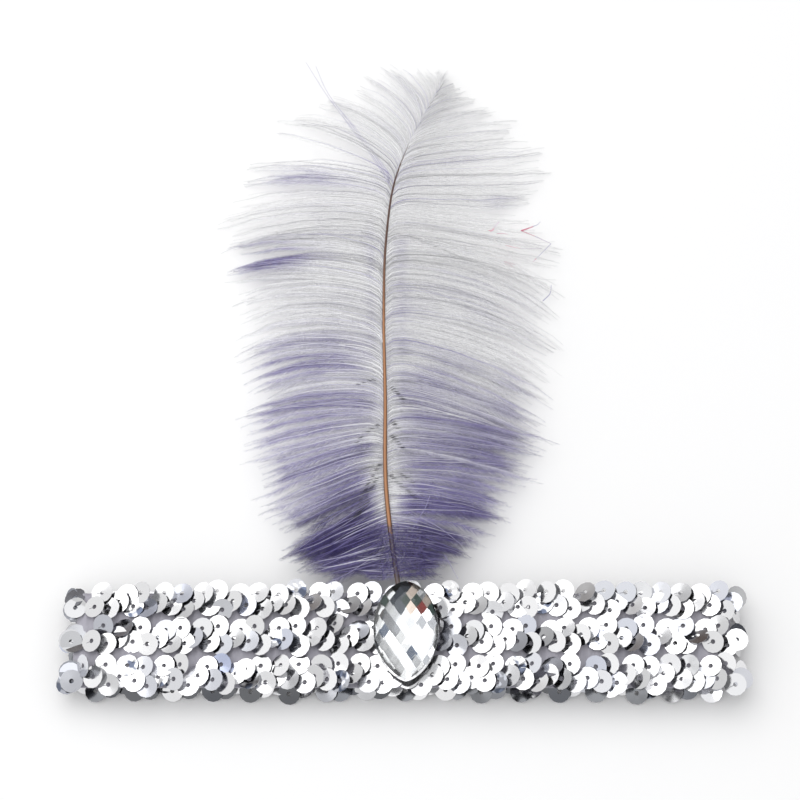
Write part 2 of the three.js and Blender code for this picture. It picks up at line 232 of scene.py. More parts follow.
class PlumeSettings(bpy.types.PropertyGroup):
    """The plume's barbs and their down."""

    barbs: IntProperty(name="Barbs", description="Barbs on each side of the shaft", default=280, min=10)
    barb: length("Barb", "Diameter of a barb at the shaft", 0.26)
    strand: length("Strand", "Length of a strand of down", 2.8)
    strand_width: length("Strand width", "Width of a strand of down at its root", 0.06)
    strands: amount("Strands", "Strands of down that stand clear on each mm of barb", 2.0)
    pale: colour("Pale", "Undyed barbs", (0.95, 0.95, 0.96))
    lilac: colour("Lilac", "Half dyed barbs", (0.27, 0.24, 0.475))
    purple: colour("Purple", "Deeply dyed barbs", (0.06, 0.047, 0.165))
    dark: colour("Dark", "Shaded barbs", (0.03, 0.03, 0.035))
    stain: colour("Stain", "Stray red dye", (0.75, 0.2, 0.3))


class HeadbandSettings(bpy.types.PropertyGroup):
    """Everything that can be set on the headband."""

    stage: PointerProperty(type=StageSettings)
    elastic: PointerProperty(type=ElasticSettings)
    sequins: PointerProperty(type=SequinSettings)
    stone: PointerProperty(type=StoneSettings)
    shaft: PointerProperty(type=ShaftSettings)
    plume: PointerProperty(type=PlumeSettings)


class Signal:
    """One output socket. Arithmetic on it adds Math nodes to its tree."""

    def __init__(self, nodes, socket):
        self.nodes = nodes
        self.socket = socket

    def math(self, operation, first, second):
        """The result of one Math node."""
        return self.nodes.node("ShaderNodeMath", {"operation": operation}, {0: first, 1: second})

    def __add__(self, other):
        return self.math("ADD", self, other)

    __radd__ = __add__

    def __sub__(self, other):
        return self.math("SUBTRACT", self, other)

    def __rsub__(self, other):
        return self.math("SUBTRACT", other, self)

    def __mul__(self, other):
        return self.math("MULTIPLY", self, other)

    __rmul__ = __mul__


class Nodes:
    """A node tree that is being filled."""

    def __init__(self, owner):
        owner.use_nodes = True
        self.owner = owner
        self.tree = owner.node_tree
        self.tree.nodes.clear()

    def node(self, kind, settings=None, inputs=None, output=0):
        """Adds a node with its settings and its inputs, and gives one output. Colours come without alpha."""
        made = self.tree.nodes.new(kind)
        for name, value in (settings or {}).items():
            if name == "stops":
                set_stops(made.color_ramp, value)
            else:
                setattr(made, name, value)
        for name, value in (inputs or {}).items():
            socket = made.inputs[name]
            if isinstance(value, Signal):
                self.tree.links.new(value.socket, socket)
            else:
                socket.default_value = opaque(value) if socket.type == "RGBA" else value
        return Signal(self, made.outputs[output]) if made.outputs else made

    def ramp(self, factor, *stops):
        """A colour ramp through (place, colour) stops."""
        return self.node("ShaderNodeValToRGB", {"stops": stops}, {0: factor})

    def mix(self, factor, first, second):
        """A mix of two colours."""
        return self.node("ShaderNodeMix", {"data_type": "RGBA"}, {0: factor, 6: first, 7: second}, 2)

    def span(self, value, low, high):
        """0 below low and 1 above high, straight between them."""
        return self.node("ShaderNodeMapRange", None, {0: value, 1: low, 2: high})

    def parts(self, vector):
        """The three numbers of a vector."""
        split = self.node("ShaderNodeSeparateXYZ", None, {0: vector})
        return [Signal(self, socket) for socket in split.socket.node.outputs]

    def channels(self, attribute):
        """The four numbers of a colour attribute."""
        read = self.node("ShaderNodeAttribute", {"attribute_name": attribute})
        split = self.node("ShaderNodeSeparateColor", None, {0: read})
        others = split.socket.node.outputs[1], split.socket.node.outputs[2], read.socket.node.outputs["Alpha"]
        return split, *(Signal(self, socket) for socket in others)

    def noise(self, scale, detail=2.0, vector=None):
        """Noise of a given scale on the object's own coordinates."""
        place = vector or self.node("ShaderNodeTexCoord", output=3)
        return self.node("ShaderNodeTexNoise", None, {"Vector": place, "Scale": scale, "Detail": detail})

    def bump(self, height, strength, distance):
        """A bump that feeds a shader's Normal."""
        return self.node("ShaderNodeBump", None,
                         {"Height": height, "Strength": strength, "Distance": distance})

    def surface(self, shader):
        """Ends the tree in its output."""
        ending = "World" if isinstance(self.owner, bpy.types.World) else "Material"
        self.node("ShaderNodeOutput" + ending, None, {"Surface": shader})
        return self.owner

    def principled(self, inputs):
        """Ends the tree in one Principled shader with these inputs."""
        return self.surface(self.node("ShaderNodeBsdfPrincipled", None, inputs))


def set_stops(ramp, stops):
    """Gives a colour ramp these (place, colour) stops."""
    while len(ramp.elements) < len(stops):
        ramp.elements.new(1.0)
    for element, (place, value) in zip(ramp.elements, stops):
        element.position = place
        element.color = opaque(value)


def opaque(rgb):
    """A colour with full alpha."""
    return (*rgb, 1.0)


def new_material(name):
    """An empty material's nodes."""
    return Nodes(bpy.data.materials.new(name))


def add_piece(name, mesh, slot, nodes, *materials):
    """A finished piece: it rides on the headband and stands for these CAD nodes."""
    for material in materials:
        mesh.materials.append(material)
    piece = bpy.data.objects.new(name, mesh)
    bpy.context.scene.collection.objects.link(piece)
    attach(piece, "root")
    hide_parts(*nodes)
    return piece


def face_out(shape):
    """Turns the faces of a closed bmesh outwards."""
    if shape.calc_volume(signed=True) < 0:
        bmesh.ops.reverse_faces(shape, faces=shape.faces[:])


def made_mesh(name, shape, smooth=False):
    """A mesh from a bmesh, which is freed."""
    if smooth:
        for face in shape.faces:
            face.smooth = True
    mesh = bpy.data.meshes.new(name)
    shape.to_mesh(mesh)
    shape.free()
    return mesh


def joined_mesh(name, points, faces, smooth_angle=math.pi):
    """One mesh from an array of points and an array of faces that all have as many corners."""
    mesh = bpy.data.meshes.new(name)
    points = np.ascontiguousarray(points, np.float32).reshape(-1, 3)
    faces = np.ascontiguousarray(faces, np.int32)
    count, corners = faces.shape
    mesh.vertices.add(len(points))
    mesh.vertices.foreach_set("co", points.ravel())
    mesh.loops.add(count * corners)
    mesh.loops.foreach_set("vertex_index", faces.ravel())
    mesh.polygons.add(count)
    mesh.polygons.foreach_set("loop_start", np.arange(count, dtype=np.int32) * corners)
    mesh.update(calc_edges=True)
    mesh.set_sharp_from_angle(angle=smooth_angle)
    if mesh.validate():
        raise RuntimeError(f"{name} has bad faces")
    return mesh


def paint_points(mesh, name, values):
    """A colour attribute from an array of four numbers for each point."""
    layer = mesh.attributes.new(name, "FLOAT_COLOR", "POINT")
    layer.data.foreach_set("color", np.ascontiguousarray(values, np.float32).ravel())


def painted_mesh(name, attribute, groups, seconds=0, smooth_angle=math.pi):
    """One mesh from groups of points, faces and point colours. The last groups take the second material."""
    points, faces, colours = zip(*groups)
    starts = np.cumsum([0, *(len(group) for group in points[:-1])])
    moved = [group + start for group, start in zip(faces, starts)]
    mesh = joined_mesh(name, np.concatenate(points), np.concatenate(moved), smooth_angle)
    paint_points(mesh, attribute, np.concatenate(colours))
    second = np.arange(len(groups)) >= len(groups) - seconds
    materials = np.repeat(second, [len(group) for group in faces])
    mesh.polygons.foreach_set("material_index", materials.astype(np.int32))
    return mesh


def repeated_faces(faces, count, points):
    """A blank's faces repeated for count copies of so many points."""
    starts = np.arange(count) * points
    return (faces[None] + starts[:, None, None]).reshape(-1, faces.shape[1])


def loop_frame(distance):
    """Place on the loop, direction along it and direction out of it, from the front's left end onwards."""
    distance = np.mod(distance, LOOP_LENGTH)
    right_fold = distance - 2 * STRAIGHT_HALF
    back = right_fold - FOLD_LENGTH
    left_fold = back - 2 * STRAIGHT_HALF
    stretch = [right_fold < 0, back < 0, left_fold < 0]
    level = np.zeros_like(distance)
    turn = np.select(stretch, [level, right_fold / FOLD_RADIUS, level + math.pi],
                     math.pi + left_fold / FOLD_RADIUS)
    centre = np.select(stretch, [distance - STRAIGHT_HALF, level + STRAIGHT_HALF, STRAIGHT_HALF - back],
                       -STRAIGHT_HALF)
    out = np.stack((np.sin(turn), level, np.cos(turn)), axis=-1)
    along = np.stack((np.cos(turn), level, -np.sin(turn)), axis=-1)
    place = np.stack((centre, level, level + FOLD_LEVEL), axis=-1) + out * FOLD_RADIUS
    return place, along, out


def line_points(at, places, line):
    """The points of a line at any places along it."""
    return np.stack([np.interp(at, places, line[:, axis]) for axis in range(3)], axis=-1)


def cubic_line(points, count):
    """A smooth line through a few points, in evenly spaced steps, and its directions."""
    points = np.array(points, float)
    reach = np.concatenate(([0], np.cumsum(np.linalg.norm(np.diff(points, axis=0), axis=1))))
    slopes = np.gradient(points, reach, axis=0)
    at = np.linspace(0, reach[-1], FINE_STEPS * count)
    piece = np.clip(np.searchsorted(reach, at, side="right") - 1, 0, len(points) - 2)
    width = (reach[piece + 1] - reach[piece])[:, None]
    t = (at - reach[piece])[:, None] / width
    start, end = points[piece], points[piece + 1]
    line = (start * (1 + 2 * t) * (1 - t) ** 2 + end * t * t * (3 - 2 * t)
            + width * (slopes[piece] * t * (1 - t) ** 2 - slopes[piece + 1] * t * t * (1 - t)))
    run = np.concatenate(([0], np.cumsum(np.linalg.norm(np.diff(line, axis=0), axis=1))))
    line = line_points(np.linspace(0, run[-1], count), run, line)
    directions = np.gradient(line, axis=0)
    return line, directions / np.linalg.norm(directions, axis=1, keepdims=True)


# Stage

FLOOR_SIZE = 6.0
KEY_SIZE = 1.2
KEY_DISTANCE = 1.1
KEY_DIRECTION = (-0.28, 0.25, 0.93)
# The room's power and its colours from the horizon up, then the colours of its left, right and far sides with
# where each begins and is full. The right and far sides end between two heights.
ROOM_POWER = 1.12
ROOM_HEIGHTS = ((0.0, (0.34, 0.35, 0.38)), (0.35, (0.42, 0.43, 0.46)), (0.7, (0.8, 0.8, 0.8)),
                (1.0, (0.95, 0.95, 0.95)))
LEFT_COLOUR, LEFT_SPAN = (0.95, 0.95, 0.95), (0.3, 0.75)
RIGHT_COLOUR, RIGHT_SPAN = (0.08, 0.085, 0.1), (0.1, 0.7)
FAR_COLOUR, FAR_SPAN = (0.1, 0.075, 0.065), (0.5, 0.9)
SIDES_END = (0.25, 0.6)
NEAREST_SEEN = 0.01
# A ray may pass this many layers of down before it stops.
SEE_THROUGH_LAYERS = 40


def add_floor(settings):
    """A plain pale floor under the headband."""
    shape = bmesh.new()
    bmesh.ops.create_grid(shape, x_segments=1, y_segments=1, size=FLOOR_SIZE / 2)
    floor = bpy.data.objects.new("floor", made_mesh("floor", shape))
    paper = new_material("pale floor")
    floor.data.materials.append(paper.principled({
        "Base Color": settings.floor, "Roughness": 0.9, "Specular IOR Level": 0.1}))
    bpy.context.scene.collection.objects.link(floor)


def add_studio(settings):
    """A bright room, white on its left and dim low on its right and far sides, and one large soft light."""
    world = bpy.data.worlds.new("studio")
    bpy.context.scene.world = world
    room = Nodes(world)
    right, away, height = room.parts(room.node("ShaderNodeTexCoord"))
    low = 1 - room.span(height, *SIDES_END)
    shade = room.ramp(height, *ROOM_HEIGHTS)
    shade = room.mix(room.span(0 - right, *LEFT_SPAN), shade, LEFT_COLOUR)
    shade = room.mix(room.span(right, *RIGHT_SPAN) * low, shade, RIGHT_COLOUR)
    shade = room.mix(room.span(away, *FAR_SPAN) * low, shade, FAR_COLOUR)
    room.surface(room.node("ShaderNodeBackground", None, {0: shade, 1: ROOM_POWER}))
    lamp = bpy.data.lights.new("key", "AREA")
    lamp.shape = "SQUARE"
    lamp.size = KEY_SIZE
    lamp.energy = settings.key_power
    key = bpy.data.objects.new("key", lamp)
    direction = Vector(KEY_DIRECTION).normalized()
    key.location = direction * KEY_DISTANCE
    key.rotation_euler = direction.to_track_quat("Z", "Y").to_euler()
    bpy.context.scene.collection.objects.link(key)


def add_camera(settings):
    """The camera in front of and above the headband."""
    camera = bpy.data.objects.new("camera", bpy.data.cameras.new("camera"))
    camera.data.lens = settings.lens
    camera.data.clip_start = NEAREST_SEEN
    back = Vector((0, -math.cos(settings.elevation), math.sin(settings.elevation)))
    camera.location = Vector((settings.aim_x, settings.aim_y, 0)) + back * settings.distance
    camera.rotation_euler = back.to_track_quat("Z", "Y").to_euler()
    bpy.context.scene.collection.objects.link(camera)
    bpy.context.scene.camera = camera


class HEADBAND_OT_stage(bpy.types.Operator):
    """Make the floor, the light and the camera"""

    bl_idname = "headband.stage"
    bl_label = "Stage"

    def execute(self, context):
        settings = context.scene.headband.stage
        add_floor(settings)
        add_studio(settings)
        add_camera(settings)
        context.scene.view_settings.view_transform = "Standard"
        context.scene.cycles.transparent_max_bounces = SEE_THROUGH_LAYERS
        return {"FINISHED"}


# Elastic

ELASTIC_STEPS = 800
ELASTIC_STEPS_ACROSS = 14
# How far a gather sways along the band on its way across it, as a share of the pitch, and how tightly.
PLEAT_SWAY, PLEAT_BEND = 0.35, 9
SEAM_GAP = 0.01 * MM
# How much of the elastic's tone and relief comes from its ribs and its wear; the ribs' share of the tone is
# painted light on the raised ribs and painted shade in the grooves.
RIB_TONE, WEAR_TONE, WEAR_RELIEF = 0.7, 0.3, 0.5


def elastic_finish(settings):
    """Ribbed elastic: fine raised ribs along the band over a darker ground. The ribs' lighter colour is
    painted light, and the darker ground between them is painted shade.
    """
    cloth = new_material("ribbed elastic")
    uv = cloth.node("ShaderNodeUVMap", {"uv_map": "UVMap"})
    ribs = cloth.node("ShaderNodeTexWave", {"bands_direction": "Y"},
                      {"Vector": uv, "Scale": 9.0, "Distortion": 1.5, "Detail": 2.0}, 1)
    worn = cloth.noise(scale=700.0)
    # Painted light and shade: lighter on the raised ribs, darker in the grooves between them.
    tone = cloth.mix(ribs * RIB_TONE + worn * WEAR_TONE, settings.colour, settings.lit_rib)
    relief = cloth.bump(ribs + worn * WEAR_RELIEF, strength=0.5, distance=0.3 * MM)
    return cloth.principled({"Base Color": tone, "Roughness": 0.75, "Sheen Weight": 0.2, "Normal": relief})


def elastic_shape(settings):
    """A strip wrapped round the loop, gathered in small pleats, joined at its ends and thickened."""
    shape = bmesh.new()
    bmesh.ops.create_grid(shape, x_segments=ELASTIC_STEPS, y_segments=ELASTIC_STEPS_ACROSS, size=0.5,
                          calc_uvs=True)
    shape.verts.ensure_lookup_table()
    flat = np.array([point.co for point in shape.verts])
    distance = (flat[:, 0] + 0.5) * LOOP_LENGTH
    across = flat[:, 1] * (BAND_WIDTH - 2 * settings.drawn_in)
    place, _, out = loop_frame(distance)
    pleats = round(LOOP_LENGTH / settings.pleat_pitch)
    sway = PLEAT_SWAY * np.sin(PLEAT_BEND * flat[:, 1])
    wave = np.sin(2 * math.pi * (pleats * distance / LOOP_LENGTH + sway))
    place -= out * (settings.pleat_depth * (0.5 - 0.5 * wave))[:, None]
    place[:, 1] = across
    for point, spot in zip(shape.verts, place):
        point.co = spot
    bmesh.ops.remove_doubles(shape, verts=shape.verts[:], dist=SEAM_GAP)
    bmesh.ops.recalc_face_normals(shape, faces=shape.faces[:])
    bmesh.ops.solidify(shape, geom=shape.faces[:], thickness=settings.thickness)
    face_out(shape)
    return made_mesh("elastic", shape, smooth=True)


class HEADBAND_OT_elastic(bpy.types.Operator):
    """Make the elastic loop"""

    bl_idname = "headband.elastic"
    bl_label = "Elastic"

    def execute(self, context):
        settings = context.scene.headband.elastic
        piece = add_piece("elastic", elastic_shape(settings), "elastic", ["elastic_band"],
                          elastic_finish(settings))
        return {"FINISHED"}


# Sequins

SEQUIN_SEED = 11
SEQUIN_SIDES = 14
SEQUIN_SMOOTH = math.radians(35)
TILT_SPREAD = math.radians(7)
TILT_LIMITS = math.radians(6), math.radians(36)
# How much lower the sequins lie at the left end than at the right end.
TILT_FALL = math.radians(10)
ROLL_SPREAD = math.radians(10)
YAW_MOST = 0.4
START_SPREAD = 1.0 * MM
PLACE_SPREAD = 0.35 * MM
# The sequins this near the stone's middle are pressed down under it.
PRESSED_TILT = math.radians(7)
PRESSED_REACH = 8 * MM
# How far the back half's rows and the front's lowest row lie across the band from their middle.
BACK_SHIFT = -0.5 * MM
BOTTOM_SHIFT = -0.7 * MM
# How rough and how blue the film is, with their spread, and how many sequins have dark patches.
ROUGH, ROUGH_SPREAD = 0.5, 0.2
BLUE, BLUE_SPREAD = -0.15, 0.35
FLECK_CHANCE = 0.07
# How bright the film is from sequin to sequin with the chance of each, and how bright its underside is: the
# first of two for this share. The darker underside is a plain back and also painted shade for the dark
# crescents under the sequins' raised edges.
FILM_TONES, FILM_CHANCES = (1.0, 0.84, 0.68, 0.45), (0.42, 0.33, 0.17, 0.08)
UNDERSIDE, UNDERSIDE_SHARE = (0.3, 0.85), 0.5
# The back half's sequins lie flatter: their most tilt, and what their roll is divided by. Then how bright a
# dark underside is, and what share of them has one: painted shade where the front half overhangs them.
BACK_TILT_MOST = math.radians(20)
BACK_ROLL_CUT = 3
BACK_SHADE, BACK_SHADE_SHARE = 0.12, 0.5
# The lowest row of the back half leans towards the viewer and stays above the floor.
BACK_TILT = math.radians(12)
BACK_ROLL = math.radians(-15)
FLOOR_GAP = 0.1 * MM
# Where round the right fold, from its top, it is bare.
RIGHT_BARE = (math.radians(92), math.radians(170))
# Where round the left fold, from its underside, it is bare, and where the sequins hang over it. More are
# added above those, this far across their row in mm. All of them are matt, and painted bluer and darker to
# a brightness in this range: painted shade of discs that stand edge-on and stacked at the fold.
LEFT_BARE = (math.radians(50), math.radians(118))
HANGING = (math.radians(118), math.radians(140))
HANGING_TILT = (math.radians(-18), math.radians(15))
HANGING_EXTRA = tuple(math.radians(turn) for turn in (142, 150, 157, 164, 171, 178, 185))
HANGING_ACROSS = (-2.5, 2.0)
HANGING_ROUGH = 1.0
HANGING_SHADE_BLUE = 0.4
FOLD_SHADE = (0.15, 0.65)
# A sequin that would reach further past the frame's left side is left out.
PAST_LEFT = 1.5 * MM
STITCH_LIFT = 0.15 * MM
THREAD_WIDTH = 0.2 * MM
THREAD_LIFT = 0.1 * MM
# The film's least roughness, what a rough sequin adds to it and what its scuffs add.
FILM_ROUGH, FILM_ROUGHER, SCUFF_ROUGHER = 0.04, 0.12, 0.08


def sequin_blank(settings):
    """One cup sequin with its hole, at the origin, as arrays of points and faces."""
    shape = bmesh.new()
    bmesh.ops.create_circle(shape, segments=SEQUIN_SIDES, radius=settings.hole / 2)
    grown = bmesh.ops.extrude_edge_only(shape, edges=shape.edges[:])["geom"]
    rim = [part for part in grown if isinstance(part, bmesh.types.BMVert)]
    spread = settings.diameter / settings.hole
    bmesh.ops.scale(shape, vec=(spread, spread, 1), verts=rim)
    bmesh.ops.translate(shape, vec=(0, 0, settings.cup), verts=rim)
    bmesh.ops.recalc_face_normals(shape, faces=shape.faces[:])
    bmesh.ops.solidify(shape, geom=shape.faces[:], thickness=settings.thickness)
    return blank_arrays(shape)


def undersides(points, settings):
    """Which points of the sequin blank are on its underside."""
    radius = np.hypot(points[:, 0], points[:, 1])
    rim = radius > radius.mean()
    level = np.where(rim, points[rim, 2].max(), points[~rim, 2].max())
    return points[:, 2] < level - settings.thickness / 2


def thread_blank(settings):
    """The thread from a sequin's hole to its stitched edge, as arrays of points and faces."""
    shape = bmesh.new()
    reach = settings.diameter / 2
    bmesh.ops.create_cube(shape, size=1)
    bmesh.ops.scale(shape, vec=(reach, THREAD_WIDTH, THREAD_WIDTH / 2), verts=shape.verts[:])
    slope = Matrix.Rotation(math.atan(settings.cup / reach), 4, "Y")
    bmesh.ops.rotate(shape, matrix=slope, verts=shape.verts[:])
    bmesh.ops.translate(shape, vec=(-reach / 2, 0, settings.cup / 2 + THREAD_LIFT), verts=shape.verts[:])
    return blank_arrays(shape)


def blank_arrays(shape):
    """A closed bmesh of four-cornered faces as arrays, facing out."""
    face_out(shape)
    shape.verts.index_update()
    points = np.array([point.co for point in shape.verts])
    faces = np.array([[point.index for point in face.verts] for face in shape.faces])
    shape.free()
    return points, faces


def repeated(blank, origins, axes):
    """A blank's points and faces repeated at every origin, turned to the axes there."""
    points, faces = blank
    placed = origins[:, None, :] + np.einsum("vk,nkj->nvj", points, axes)
    return placed.reshape(-1, 3), repeated_faces(faces, len(origins), len(points))


def row_level(row):
    """The middle of a row of sequins across the band."""
    low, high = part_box(f"sequin_back_{row}")
    return (low.y + high.y) / 2


def row_places(row, chance):
    """Every sequin of a row: distance round the loop, place across the band."""
    start = chance.uniform(-1, 1) * START_SPREAD
    share, step = np.array(SEQUIN_REPEAT).T
    distance = (np.arange(REPEATS)[:, None] + share[None, :]).ravel() * LOOP_LENGTH / REPEATS + start
    across = row_level(row) + np.tile(step * MM, REPEATS)
    fold_start = LOOP_LENGTH - FOLD_LENGTH
    distance = np.append(distance, fold_start + FOLD_RADIUS * np.array(HANGING_EXTRA))
    extra = chance.uniform(*HANGING_ACROSS, len(HANGING_EXTRA)) * MM
    across = np.append(across, row_level(row) + extra)
    distance += chance.normal(0, PLACE_SPREAD, len(distance))
    across += chance.normal(0, PLACE_SPREAD, len(distance))
    return np.mod(distance, LOOP_LENGTH), across


def sequin_axes(along, out, tilt, roll, yaw):
    """The heading and three axes of sequins raised along the band, rolled across it and turned by yaw."""
    def wide(values):
        return values[:, None]

    heading = wide(np.cos(tilt)) * along + wide(np.sin(tilt)) * out
    face = wide(np.cos(tilt)) * out - wide(np.sin(tilt)) * along
    across = np.tile((0.0, 1.0, 0.0), (len(tilt), 1))
    side = wide(np.cos(roll)) * across + wide(np.sin(roll)) * face
    face = wide(np.cos(roll)) * face - wide(np.sin(roll)) * across
    first = wide(np.cos(yaw)) * heading + wide(np.sin(yaw)) * side
    second = wide(np.cos(yaw)) * side - wide(np.sin(yaw)) * heading
    return heading, np.stack((first, second, face), axis=1)


def sequin_turns(row, place, front, hanging, settings, chance):
    """How far the sequins of a row are tilted, rolled and turned by yaw."""
    count = len(place)
    lowest = row == "bottom"
    flatter = TILT_FALL * np.clip(0.5 - place[:, 0] / STRAIGHT_HALF / 2, 0, 1)
    tilt = np.clip(settings.tilt - flatter + chance.normal(0, TILT_SPREAD, count), *TILT_LIMITS)
    roll = chance.normal(0, ROLL_SPREAD, count)
    tilt = np.where(front, tilt, np.minimum(tilt, BACK_TILT if lowest else BACK_TILT_MOST))
    roll = np.where(front, roll, roll + BACK_ROLL if lowest else roll / BACK_ROLL_CUT)
    from_stone = np.abs(place[:, 0] + settings.diameter / 2 - STONE_MIDDLE.x)
    pressed = front & (from_stone < PRESSED_REACH)
    tilt = np.where(pressed, PRESSED_TILT, tilt)
    roll = np.where(pressed, 0, roll)
    tilt = np.where(hanging, math.pi - chance.uniform(*HANGING_TILT, count), tilt)
    return tilt, roll, chance.uniform(0, YAW_MOST, count)


def film_tones(front, hanging, chance):
    """Roughness, blueness, patches and brightness above and underneath for the sequins of a row."""
    count = len(front)
    shade = chance.normal(0, 1, count)
    # Sequins hanging at the left fold are painted bluer here and darker below: painted shade of discs stacked
    # edge-on.
    blue = np.clip(chance.normal(BLUE, BLUE_SPREAD, count) + np.where(hanging, HANGING_SHADE_BLUE, 0), 0, 1)
    fleck = np.where(chance.uniform(0, 1, count) < FLECK_CHANCE, 1.0, 0.0)
    face = np.where(hanging, chance.uniform(*FOLD_SHADE, count), chance.choice(FILM_TONES, count, p=FILM_CHANCES))
    # The darker of the two underside tones is partly painted shade of the crescents under raised edges.
    under = np.where(chance.uniform(0, 1, count) < UNDERSIDE_SHARE, *UNDERSIDE)
    # Half the back undersides are painted dark: painted shade under the overhanging front half.
    shaded_back = chance.uniform(0, 1, count) < BACK_SHADE_SHARE
    under = np.where(front, under, np.where(shaded_back, BACK_SHADE, face))
    under = np.where(hanging, face, under)
    rough = np.where(hanging, HANGING_ROUGH, ROUGH + ROUGH_SPREAD * shade)
    return np.stack((rough, blue, fleck, face, under), axis=1)


def sequin_row(row, settings, chance):
    """One row round the whole loop: origins, axes, tones, and which sequins are on the front."""
    distance, across = row_places(row, chance)
    place, along, out = loop_frame(distance)
    radius = settings.diameter / 2
    front = (distance < 2 * STRAIGHT_HALF + FOLD_LENGTH / 2) | (distance > LOOP_LENGTH - FOLD_LENGTH / 2)
    right_fold = np.mod(distance - 2 * STRAIGHT_HALF, LOOP_LENGTH) / FOLD_RADIUS
    left_fold = (distance - LOOP_LENGTH + FOLD_LENGTH) / FOLD_RADIUS
    hanging = (left_fold > HANGING[0]) & (left_fold < HANGING[1])
    hanging[-len(HANGING_EXTRA):] = True
    heading, axes = sequin_axes(along, out, *sequin_turns(row, place, front, hanging, settings, chance))
    origins = place + out * STITCH_LIFT + heading * settings.diameter / 2
    origins[:, 1] += across + np.where(front, BOTTOM_SHIFT if row == "bottom" else 0, BACK_SHIFT)
    hang = radius * np.hypot(axes[:, 0, 2], axes[:, 1, 2]) + settings.thickness + FLOOR_GAP
    origins[:, 2] = np.maximum(origins[:, 2], hang)
    reach = origins[:, 0] - np.abs(heading[:, 0]) * radius
    kept = reach > CAD_BOX[0].x - PAST_LEFT
    for fold, bare in ((right_fold, RIGHT_BARE), (left_fold, LEFT_BARE)):
        kept &= (fold < bare[0]) | (fold > bare[1])
    tones = film_tones(front, hanging, chance)
    return origins[kept], axes[kept], tones[kept], front[kept]


def sequin_finish(settings):
    """Silver film, darker underneath as a plain back and as painted shade. Some sequins are bluer than
    others, and a few are crinkled.
    """
    film = new_material("silver film")
    rough, blue, fleck, bright = film.channels("finish")
    crinkles = film.noise(scale=330.0, detail=1.0)
    patches = film.span(crinkles, low=0.52, high=0.6)
    tone = film.mix(blue, settings.silver, settings.blue)
    tone = film.mix(fleck * patches, tone, settings.fleck)
    # Darkening toward this colour gives random film tone, and painted shade on undersides and fold sequins.
    tone = film.mix(bright, settings.dull_and_shade, tone)
    scuffs = film.noise(scale=500.0)
    return film.principled({
        "Base Color": tone, "Metallic": 1.0,
        "Roughness": FILM_ROUGH + rough * FILM_ROUGHER + scuffs * SCUFF_ROUGHER,
        "Normal": film.bump(crinkles * fleck, strength=1.0, distance=0.7 * MM)})


def thread_finish(settings):
    """Twisted thread, darkened in part as painted shadow at the stitch."""
    thread = new_material("stitching thread")
    shaded = [part / 2 for part in settings.thread]
    tone = thread.mix(thread.noise(scale=3000.0), settings.thread, shaded)
    return thread.principled({"Base Color": tone, "Roughness": 0.7})


def sequin_mesh(name, settings, origins, axes, tones):
    """The sequins and threads of one half of a row as one mesh."""
    blank = sequin_blank(settings)
    under = np.tile(undersides(blank[0], settings), len(origins))
    tones = np.repeat(tones, len(blank[0]), axis=0)
    tones = np.where(under[:, None], tones[:, (0, 1, 2, 4)], tones[:, :4])
    threads = repeated(thread_blank(settings), origins, axes)
    plain = np.zeros((len(threads[0]), 4))
    groups = (*repeated(blank, origins, axes), tones), (*threads, plain)
    return painted_mesh(name, "finish", groups, seconds=1, smooth_angle=SEQUIN_SMOOTH)


class HEADBAND_OT_sequins(bpy.types.Operator):
    """Make the three rows of sequins, front and back"""

    bl_idname = "headband.sequins"
    bl_label = "Sequins"

    def execute(self, context):
        settings = context.scene.headband.sequins
        materials = sequin_finish(settings), thread_finish(settings)
        for index, row in enumerate(ROWS):
            chance = np.random.default_rng(SEQUIN_SEED + index)
            origins, axes, tones, front = sequin_row(row, settings, chance)
            for half, chosen, node in (("front", front, "row"), ("back", ~front, "back")):
                name = f"sequins_{half}_{row}"
                mesh = sequin_mesh(name, settings, origins[chosen], axes[chosen], tones[chosen])
                add_piece(name, mesh, "sequin", [f"sequin_{node}_{row}"], *materials)
        return {"FINISHED"}


# Stone

STONE_SEED = 4
FACET_ANGLE = math.radians(3)
CORNER_GAP = 0.001 * MM
CUT_GAP = 0.0001 * MM
# A face that looks down more steeply than this is part of the stone's flat back.
BACK_SLOPE = -0.9
FOIL_KITE = Vector((3.0, 4.6, 0)) * MM
FOIL_LINES = 12
FOIL_RELIEF = 0.7 * MM
# Painted reflections in the foil's kites: tints with their chances, left and right above this share of the
# stone's length, and below it; the dark upper tints stand for the plume and dim room mirrored there. The
# girdle, up to this slope, has one tint.
REFLECTION_DARK_FROM = 0.72
LEFT_REFLECTIONS = (((0.03, 0.045, 0.04), 0.4), ((0.07, 0.08, 0.095), 0.35), ((0.6, 0.61, 0.62), 0.25))
RIGHT_REFLECTIONS = (((0.2, 0.045, 0.04), 0.35), ((0.55, 0.47, 0.41), 0.35), ((0.03, 0.045, 0.04), 0.1),
               ((0.85, 0.86, 0.87), 0.2))
LOWER_REFLECTIONS = (((0.92, 0.93, 0.94), 0.5), ((0.6, 0.61, 0.63), 0.28), ((0.33, 0.34, 0.36), 0.13),
               ((0.14, 0.17, 0.23), 0.05), ((0.6, 0.64, 0.8), 0.04))
GIRDLE_TINT = (0.85, 0.86, 0.87)
GIRDLE_SLOPE = 0.25
# How rough the clear stone is at most, and how rough the foil is at least and what its creases add.
HAZE = 0.03
FOIL_ROUGH, FOIL_CREASED = 0.12, 0.15


